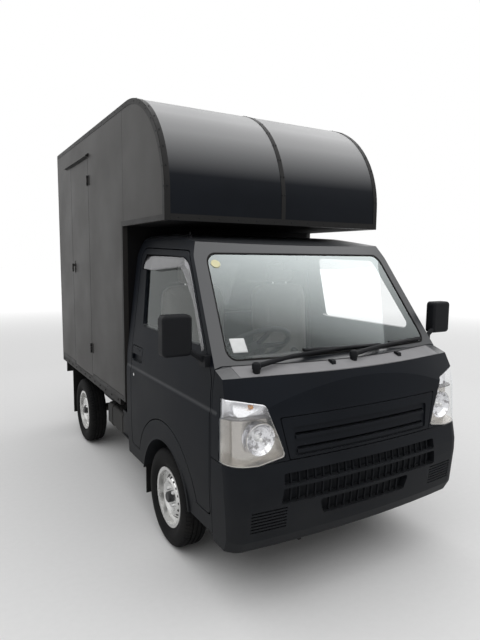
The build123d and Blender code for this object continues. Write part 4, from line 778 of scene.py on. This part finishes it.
# %% Window visors
VISOR_EDGE = [(-1.335, 1.168), (-1.185, 1.385), (-1.045, 1.592), (-0.900, 1.597), (-0.640, 1.603),
              (-0.436, 1.607)]
VISOR_ROWS = 46
VISOR_WALL = 0.0024
edge = evenly(smoothed(VISOR_EDGE), VISOR_ROWS)
run = np.gradient(edge, axis=0)
inward = np.stack([run[:, 1], -run[:, 0]], -1) / np.linalg.norm(run, axis=1, keepdims=True)
share = np.linspace(0, 1, VISOR_ROWS)
width = 0.017 + 0.073 * np.clip((share - 0.25) / 0.6, 0, 1) ** 0.8
across = np.linspace(0, 1, 9)
for side, word in SIDES:
    flat = edge[:, None] + inward[:, None] * (width[:, None] * across)[..., None]
    door = "cab_door_" + word
    seat = np.array([touch(door, (side * 0.95, y, z), (-side, 0, 0))[0][0] for y, z in edge])
    lean = -0.125 * side * (flat[..., 1] - edge[:, None, 1])
    bulge = side * (0.0016 + 0.016 * np.sin(across * np.pi / 2) * np.clip(width[:, None] / 0.05, 0.3, 1))
    sheet = xyz(seat[:, None] + lean + bulge, flat[..., 0], flat[..., 1])
    piece("window_visor_" + word, sheet, smoke, "door_" + word, around=False, closed=False,
          thick=VISOR_WALL)

# %% [markdown]
# ## Lamp bulbs
# Behind each clear cover are a bulb with a metal cap in the bowl, and a small amber bulb in the upper
# corner for the turn signal. Each is a turned profile: the radius given along its axis. A straight line
# from the front finds where the bowl's solid carries it.

# %% Lamp bulbs
amber = Finish("amber_bulb", (0.75, 0.25, 0.02), 0.15, 0.0, Coat_Weight=0.5)
amber_depth = amber.blend(amber.noise(60.0), shade((0.75, 0.25, 0.02), 0.9), shade((0.9, 0.4, 0.06)))
amber.give("Base Color", amber_depth)
bulb_glass = Finish("bulb_glass", (0.80, 0.80, 0.78), 0.12, 0.6)
bulb_glass.rough(bulb_glass.noise(50.0), 0.3, 0.7, 0.08, 0.2)
TURN_FOOT = [(0.0075, 0.004), (0.0075, -0.001), (0, -0.001)]
MAIN_FOOT = [(0.0085, 0.016), (0.013, 0.010), (0.016, 0.004), (0.016, -0.001), (0, -0.001)]
BULBS = (
    # name, x, z, dome radius, dome height, dome foot, profile below the dome, finish
    ("turn", 0.603, 0.944, 0.0095, 0.0095, 0.016, TURN_FOOT, amber),
    ("main", BOWL_X, BOWL_Z, 0.0105, 0.0080, 0.030, MAIN_FOOT, bulb_glass),
)
quarter = np.linspace(0, np.pi / 2, 7)
for side, word in SIDES:
    for label, x, z, dome, rise, lift, foot, finish in BULBS:
        profile = [(dome * np.sin(a), lift + rise * np.cos(a)) for a in quarter] + foot
        spot, _ = touch("headlamp_bowls", (side * x, -1.85, z), (0, 1, 0))
        bulb = stood(turned(profile, 24), spot, (0, -1, 0))
        piece(label + "_bulb_" + word, bulb, finish.material)

# %% [markdown]
# ## Aerial and blank stickers
# A short rubber aerial stands on the right front corner of the cab's roof. Two stickers lie on the
# windscreen. They are left blank. The glass is a curved sheet, so a sticker takes its y from the same
# function as the glass: a parabola across, plus a steady lean.

# %% Aerial
spot, up = touch("cab_shell", (-0.560, -0.860, 2.0), (0, 0, -1))
AERIAL = [(0, 0.031), (0.0026, 0.030), (0.0034, 0.027), (0.0042, 0.012), (0.0110, 0.007),
          (0.0150, 0.0035), (0.0165, 0), (0.0165, -0.002), (0, -0.002)]
piece("roof_aerial", stood(turned(AERIAL, 24), spot, up), black_plastic)


# %% Stickers
def on_windscreen(x, z, proud):
    """Point of the glass: y is a parabola in x plus 0.73 of the height, moved forward by proud."""
    return xyz(x, -1.509 + 0.089 * (x / 0.76) ** 2 + 0.73 * (z - 1.128) - proud, z)


def paper(name, color):
    """Paper: a little blotchy, with a faint grain."""
    finish = Finish(name, color, 0.6)
    finish.give("Base Color", finish.blend(finish.noise(40.0, 4.0), shade(color, 0.88), shade(color, 1.08)))
    finish.bump(finish.noise(900.0), 0.15, 0.0001)
    return finish.material


INSIDE, STICKER = -0.0020, 0.0005
square_x, square_z = np.meshgrid(np.linspace(-0.607, -0.535, 9), np.linspace(1.158, 1.218, 9))
square = on_windscreen(square_x, square_z, INSIDE)
white_paper = paper("white_paper", (0.72, 0.73, 0.73))
piece("sticker_square", square, white_paper, around=False, closed=False, thick=STICKER)
ring = np.linspace(0.0005, 0.024, 6)[:, None]
round_x, round_z = -0.552 + ring * np.cos(circle(28)), 1.560 + 0.81 * ring * np.sin(circle(28))
disc = on_windscreen(round_x, round_z, INSIDE)
yellow_paper = paper("pale_yellow_paper", (0.72, 0.68, 0.42))
piece("sticker_round", disc, yellow_paper, closed=False, thick=STICKER)

# %% [markdown]
# ## Wiper arms
# A real wiper arm is a pressed channel, wide at its pivot and narrow at the blade. The solid has only
# round rods, so a tapered bar follows the same path over each of them, a domed cap closes the pivot, and
# a stiff spine runs along the blade.

# %% Wiper arms
WIPER_PATHS = (
    # pivot x, y, elbow x, z, blade start x, z, blade end x, z
    (-0.551, -1.538, -0.330, 1.140, -0.250, 1.152, 0.245, 1.144),
    (-0.012, -1.574, 0.190, 1.142, 0.330, 1.146, 0.604, 1.145),
)
PIVOT_CAP = [(0, 0.012), (0.006, 0.0118), (0.013, 0.010), (0.0185, 0.006), (0.0205, 0.001),
             (0.0205, -0.020), (0, -0.020)]
arms, caps = [], []
for px, py, ex, ez, x0, z0, x1, z1 in WIPER_PATHS:
    foot_z = 1.088 + 0.36 * (py + 1.612) - 0.062 * (px / 0.8) ** 2
    elbow = on_windscreen(ex, ez, 0.034)
    middle = on_windscreen((x0 + x1) / 2, (z0 + z1) / 2, 0.014)
    path = smoothed([(px, py, foot_z + 0.026), elbow, middle], 4)
    share = np.linspace(0, 1, len(path))
    arms.append(tube(path, 0.0135 - 0.0065 * share, 12))
    swell = np.sin(np.pi * share)
    spine = on_windscreen(x0 + (x1 - x0) * share, z0 + (z1 - z0) * share, 0.011 + 0.004 * swell)
    arms.append(tube(spine, 0.0055 + 0.0025 * swell, 12))
    caps.append((px, py, foot_z + 0.034))
piece("wiper_arms", arms, black_plastic)
piece("wiper_caps", stood(turned(PIVOT_CAP, 24), caps, (0, 0, 1)), black_plastic)

# %% [markdown]
# ## Seats
# Each seat is foam in a sewn cover. A plain block would look hard, so the cover is simulated as cloth
# under pressure: the pad starts a little too small, its sewn lines are pinned, and the air pressure puffs
# the cloth up between them. The move of each point is capped, so the pad stays in its space.

# %% Padded forms
STITCH = 0.0045


def baked(source, name):
    """The mesh of an object with its modifiers applied, in a new object."""
    mesh = bpy.data.meshes.new_from_object(source.evaluated_get(bpy.context.evaluated_depsgraph_get()))
    made = bpy.data.objects.new(name, mesh)
    scene.collection.objects.link(made)
    return made


def positions(mesh):
    flat = np.empty(len(mesh.vertices) * 3)
    mesh.vertices.foreach_get("co", flat)
    return flat.reshape(-1, 3)


def puffed(name, grid, sewn, cap):
    """Cover blown up by pressure from a closed grid. sewn(points) is true where the cloth is held."""
    shell = piece(name + "_start", grid, seat_cloth)
    remesh = shell.modifiers.new("even", "REMESH")
    remesh.mode = "VOXEL"
    remesh.voxel_size = 0.006
    pad = baked(shell, name)
    bpy.data.objects.remove(shell)
    start = positions(pad.data)
    held = pad.vertex_groups.new(name="sewn")
    held.add(np.flatnonzero(sewn(start)).tolist(), 1.0, "REPLACE")
    cloth = pad.modifiers.new("cover", "CLOTH")
    cloth.settings.use_pressure = True
    cloth.settings.uniform_pressure_force = 4
    cloth.settings.vertex_group_mass = "sewn"
    cloth.settings.effector_weights.gravity = 0
    cloth.point_cache.frame_start = 1
    cloth.point_cache.frame_end = 20
    for frame_number in range(1, 21):
        scene.frame_set(frame_number)
    blown = baked(pad, name + "_blown")
    move = positions(blown.data) - start
    far = np.linalg.norm(move, axis=1, keepdims=True)
    start = start + move * np.minimum(1, cap / np.maximum(far, 1e-9))
    bpy.data.objects.remove(blown)
    pad.modifiers.clear()
    pad.vertex_groups.clear()
    scene.frame_set(1)
    return pad, start


def finished(pad, points, name, shift):
    """A pad's mesh with its points moved, smooth, with one subdivision."""
    mesh = pad.data.copy()
    mesh.vertices.foreach_set("co", (points + shift).ravel())
    mesh.shade_smooth()
    mesh.materials.clear()
    mesh.materials.append(seat_cloth)
    made = bpy.data.objects.new(name, mesh)
    scene.collection.objects.link(made)
    finer = made.modifiers.new("finer", "SUBSURF")
    finer.levels = finer.render_levels = 1
    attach(made, "chassis")
    print(name, "points", len(mesh.vertices))
    return made


# %% Seat pads
SEAT_X = 0.335
SEAM_STEP = 0.075
CUSHION_MIDDLE, CUSHION_SIZE = (0, -0.7025, 0.800), (0.445, 0.440, 0.100)
BACK_MIDDLE, BACK_SIZE, BACK_LEAN = (0, -0.432, 1.120), (0.425, 0.100, 0.590), np.radians(5)
REST_MIDDLE, REST_SIZE = (0, -0.412, 1.488), (0.196, 0.074, 0.130)
cosine, sine = np.cos(BACK_LEAN), np.sin(BACK_LEAN)
leaned = np.array([[1, 0, 0], [0, cosine, sine], [0, -sine, cosine]])


def on_step(x):
    """True within a stitch of a multiple of the seams' step."""
    return np.abs((x + SEAM_STEP / 2) % SEAM_STEP - SEAM_STEP / 2) < STITCH


def cushion_lines(p):
    """Two long seams, cross seams between them, the rim and the underside."""
    x, y, z = p.T
    top = z > 0.815
    long_seam = np.abs(np.abs(x) - 0.120) < STITCH
    cross = (np.abs(x) < 0.120) & on_step(y - CUSHION_MIDDLE[1])
    rim = (np.abs(z - 0.822) < STITCH) & (np.abs(x) > 0.19)
    return (top & (long_seam | cross)) | rim | (z < 0.758)


def back_lines(p):
    """The same on the backrest, whose face looks forward."""
    x, y, z = (p - BACK_MIDDLE).T
    depth = y + np.tan(BACK_LEAN) * z
    front = (depth < -0.02) & (np.abs(z) < 0.26)
    long_seam = np.abs(np.abs(x) - 0.115) < STITCH
    cross = (np.abs(x) < 0.115) & on_step(z)
    return (front & (long_seam | cross)) | (depth > 0.042)


def rest_lines(p):
    return p[:, 2] < REST_MIDDLE[2] - 0.058


PADS = (
    ("cushion", soft_box(CUSHION_MIDDLE, CUSHION_SIZE, 0.30, 21, 44), cushion_lines, 0.024),
    ("backrest", soft_box(BACK_MIDDLE, BACK_SIZE, 0.32, 25, 44, leaned), back_lines, 0.024),
    ("headrest", soft_box(REST_MIDDLE, REST_SIZE, 0.42, 15, 32), rest_lines, 0.010),
)
for label, grid, lines, cap in PADS:
    pad, points = puffed(label, grid, lines, cap)
    for side, word in SIDES:
        made = finished(pad, points, "seat_" + label + "_" + word, [side * SEAT_X, 0, 0])
        if label == "cushion":
            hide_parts("seats")
    bpy.data.objects.remove(pad)

# %% [markdown]
# ## Seat fittings
# Under each cushion a plastic skirt stands on the floor, two steel posts carry the headrest, and a
# buckle stands beside the cushion. Posts are round bars carried along a path, and a skirt is a soft box.

# %% Seat fittings
SKIRT_Z, POST_Y, BELT_Y = 0.765, -0.418, -0.53
post_z = np.linspace(1.385, 1.450, 5)
for side, word in SIDES:
    x = side * SEAT_X
    skirt = soft_box((x, CUSHION_MIDDLE[1], SKIRT_Z), (0.430, 0.430, 0.044), 0.18, 9, 36)
    piece("seat_skirt_" + word, skirt, black_plastic)
    posts = [tube(xyz(x + aside, POST_Y, post_z), 0.006, 12) for aside in (-0.055, 0.055)]
    piece("headrest_posts_" + word, posts, bright_steel)
    hem = side * (SEAT_X - 0.255)
    stalk = tube(xyz(hem, BELT_Y, np.linspace(0.745, 0.86, 6)), 0.007, 10)
    piece("belt_stalk_" + word, stalk, black_plastic)
    buckle = soft_box((hem, BELT_Y, 0.880), (0.020, 0.040, 0.062), 0.35, 9, 20)
    piece("belt_buckle_" + word, buckle, black_plastic)

# %% [markdown]
# ## Dashboard fittings
# The solid dashboard carries the main shape. What makes it read as one are its outlets, dials and
# controls. Round ones are turned profiles, and flat ones are plates with soft corners. A straight line
# from the seats finds the dashboard's face, so each piece sits on it.

# %% Dashboard fittings
dark_plastic = moulded("dark_control_plastic", (0.03, 0.03, 0.032), 0.45)
dial_face = Finish("dial_face", (0.01, 0.01, 0.012), 0.35)
spokes = dial_face.math("FRACT", dial_face.along(0) * 90.0) < 0.12
marks = dial_face.blend(spokes, shade((0.012, 0.012, 0.014)), shade((0.25, 0.25, 0.25)))
dial_face.give("Base Color", marks)


def dash_face(x, z):
    return touch("dashboard", (x, -0.95, z), (0, -1, 0))


OUTLET = [(0, 0.002), (0.028, 0.002), (0.030, 0.006), (0.035, 0.007), (0.038, 0.004), (0.038, -0.001),
          (0, -0.001)]
KNOB = [(0, 0.017), (0.010, 0.0165), (0.0125, 0.014), (0.0135, 0.003), (0.019, 0.002), (0.019, -0.001),
        (0, -0.001)]
rounds = (("outlets", OUTLET, [(-0.630, 1.010), (-0.105, 1.010), (0.105, 1.010), (0.630, 1.010)]),
          ("knobs", KNOB, [(-0.055, 0.870), (0.0, 0.870), (0.055, 0.870), (-0.072, 0.930), (0.072, 0.930)]))
for label, profile, at in rounds:
    met = [dash_face(x, z) for x, z in at]
    copies = stood(turned(profile, 28), [spot for spot, _ in met], [normal for _, normal in met])
    piece("dash_" + label, copies, dark_plastic)
    if label == "outlets":
        slat = plate(rounded_edge(0.052, 0.004, 0.0015, 3), 0.006, 0.0008)
        lifts = np.array([-0.016, -0.008, 0.0, 0.008, 0.016])
        spots = np.concatenate([spot + xyz(0, 0, lifts) for spot, _ in met])
        slats = stood(slat, spots, np.repeat([normal for _, normal in met], 5, axis=0))
        piece("dash_slats", slats, dark_plastic)
PLATES = (
    # name, x, z, width, height, finish
    ("radio", 0.0, 0.930, 0.120, 0.046, dark_plastic),
    ("heater", 0.0, 0.870, 0.170, 0.044, dark_plastic),
    ("glove_lid", 0.360, 0.930, 0.330, 0.120, dash_plastic),
    ("dials", -0.335, 1.070, 0.230, 0.070, dial_face.material),
)
for label, x, z, wide, high, finish in PLATES:
    lid = stood(plate(rounded_edge(wide, high, 0.010), 0.004, 0.0015), *dash_face(x, z))
    piece("dash_" + label, lid, finish)

# %% Lever, inner mirror and sun visors
BOOT = [(0.010, 0.085), (0.020, 0.075), (0.018, 0.066), (0.034, 0.050), (0.031, 0.040), (0.052, 0.020),
        (0.060, -0.001), (0, -0.001)]
BOARD_X, BOARD_Y, HEAD_ROOM = 0.33, -1.000, 1.30
STEM_Y, STEM_DROP = [-1.060, -1.066, -1.078, -1.085], np.array([-0.002, 0.020, 0.045, 0.060])
spot, _ = touch("cab_shell", (0.0, -1.12, 1.0), (0, 0, -1))
_, lever_y, floor_z = spot
lift = np.linspace(0, 1, 9)
lever = tube(xyz(0, lever_y + 0.05 * lift ** 2, floor_z - 0.002 + 0.30 * lift), 0.008, 12)
knob = soft_box((0, lever_y + 0.052, floor_z + 0.315), (0.040, 0.040, 0.052), 0.7, 11, 20)
boot = stood(turned(BOOT, 28), spot, (0, 0, 1))
piece("gear_lever", lever, bright_steel)
piece("gear_knob", knob, black_plastic)
piece("gear_boot", boot, rubber)
ceiling, _ = touch("cab_shell", (0.0, STEM_Y[0], HEAD_ROOM), (0, 0, 1))
stem = tube(xyz(0, STEM_Y, ceiling[2] - STEM_DROP), 0.006, 10)
piece("inner_mirror_stem", stem, black_plastic)
inner = soft_box((0, -1.088, ceiling[2] - 0.080), (0.210, 0.018, 0.060), 0.35, 11, 28)
piece("inner_mirror", inner, black_plastic)
for side, word in SIDES:
    over, _ = touch("cab_shell", (side * BOARD_X, BOARD_Y, HEAD_ROOM), (0, 0, 1))
    board = soft_box((side * BOARD_X, BOARD_Y, over[2] - 0.009), (0.34, 0.125, 0.020), 0.22, 9, 36)
    piece("sun_visor_" + word, board, dash_plastic)

# %% [markdown]
# ## Battery top
# The battery stands behind the cab on the right, open to view. Clamps go round its two lead posts and a
# row of filler caps lies on its lid, all turned profiles. A straight line down beside them finds the lid.

# %% Battery top
CLAMP = [(0.0085, 0.010), (0.0135, 0.010), (0.0150, 0.008), (0.0150, 0.002), (0.0085, 0.002)]
CELL_CAP = [(0, 0.005), (0.0035, 0.005), (0.0040, 0.0035), (0.0100, 0.0032), (0.0110, 0),
            (0.0110, -0.001), (0, -0.001)]
POST_X, LEAD_POST_Y = [-0.655, -0.527], -0.165
CAP_X, cap_y = -0.580, np.linspace(-0.175, -0.050, 6)
lid, _ = touch("battery", (-0.600, -0.100, 0.62), (0, 0, -1))
clamps = stood(turned(CLAMP, 20), xyz(POST_X, LEAD_POST_Y, lid[2]), (0, 0, 1))
piece("battery_clamps", clamps, bright_steel, closed=False)
caps = stood(turned(CELL_CAP, 20), xyz(CAP_X, cap_y, lid[2]), (0, 0, 1))
piece("battery_caps", caps, black_plastic)

# %% [markdown]
# ## Floor, world and lamp
# The truck stands on a plain pale floor, whose far part glows for the camera as the world does, so no
# horizon shows. The light is one wide soft lamp overhead and the world's even light from all sides, which
# suits a matt black body: its shape shows by broad reflections.

# %% Floor
floor_finish = Finish("pale_floor", (0.78, 0.78, 0.78), 0.85, Specular_IOR_Level=0.1)
x, y = floor_finish.along(0), floor_finish.along(1)
far = floor_finish.fade((x * x + y * y) ** 0.5, 4.5, 13.0)
grain = floor_finish.noise(30.0, 4.0)
BLACK, WHITE = (0, 0, 0, 1), (1, 1, 1, 1)
DAYLIGHT = 0.36
near = floor_finish.blend(grain, shade((0.76, 0.76, 0.76)), shade((0.80, 0.80, 0.80)))
floor_finish.give("Base Color", floor_finish.blend(far, near, BLACK))
glow = floor_finish.fade(floor_finish.seen(), 0, 1, DAYLIGHT, 1.0) * far
floor_finish.give("Emission Color", floor_finish.blend(glow, BLACK, WHITE))
floor_finish.give("Emission Strength", 1.0)
radius = np.concatenate([[0], np.geomspace(0.5, 60, 24)])[:, None]
disc = xyz(radius * np.cos(circle(96)), radius * np.sin(circle(96)), 0)
floor = piece("pale_floor", disc, floor_finish.material, closed=False)

# %% World and lamp
world = bpy.data.worlds.new("studio")
scene.world = world
world.use_nodes = True
sky = Graph(world.node_tree)
background = world.node_tree.nodes["Background"]
background.inputs["Color"].default_value = WHITE
sky.join(background.inputs["Strength"], sky.fade(sky.seen(), 0, 1, DAYLIGHT, 1.0))
light = bpy.data.lights.new("overhead", "AREA")
light.shape = "SQUARE"
light.size = 16.0
light.energy = 900.0
lamp = bpy.data.objects.new("overhead", light)
lamp.location = (0.0, -1.6, 6.4)
scene.collection.objects.link(lamp)
print("overhead lamp", light.energy, "W")
scene.view_settings.view_transform = "Standard"
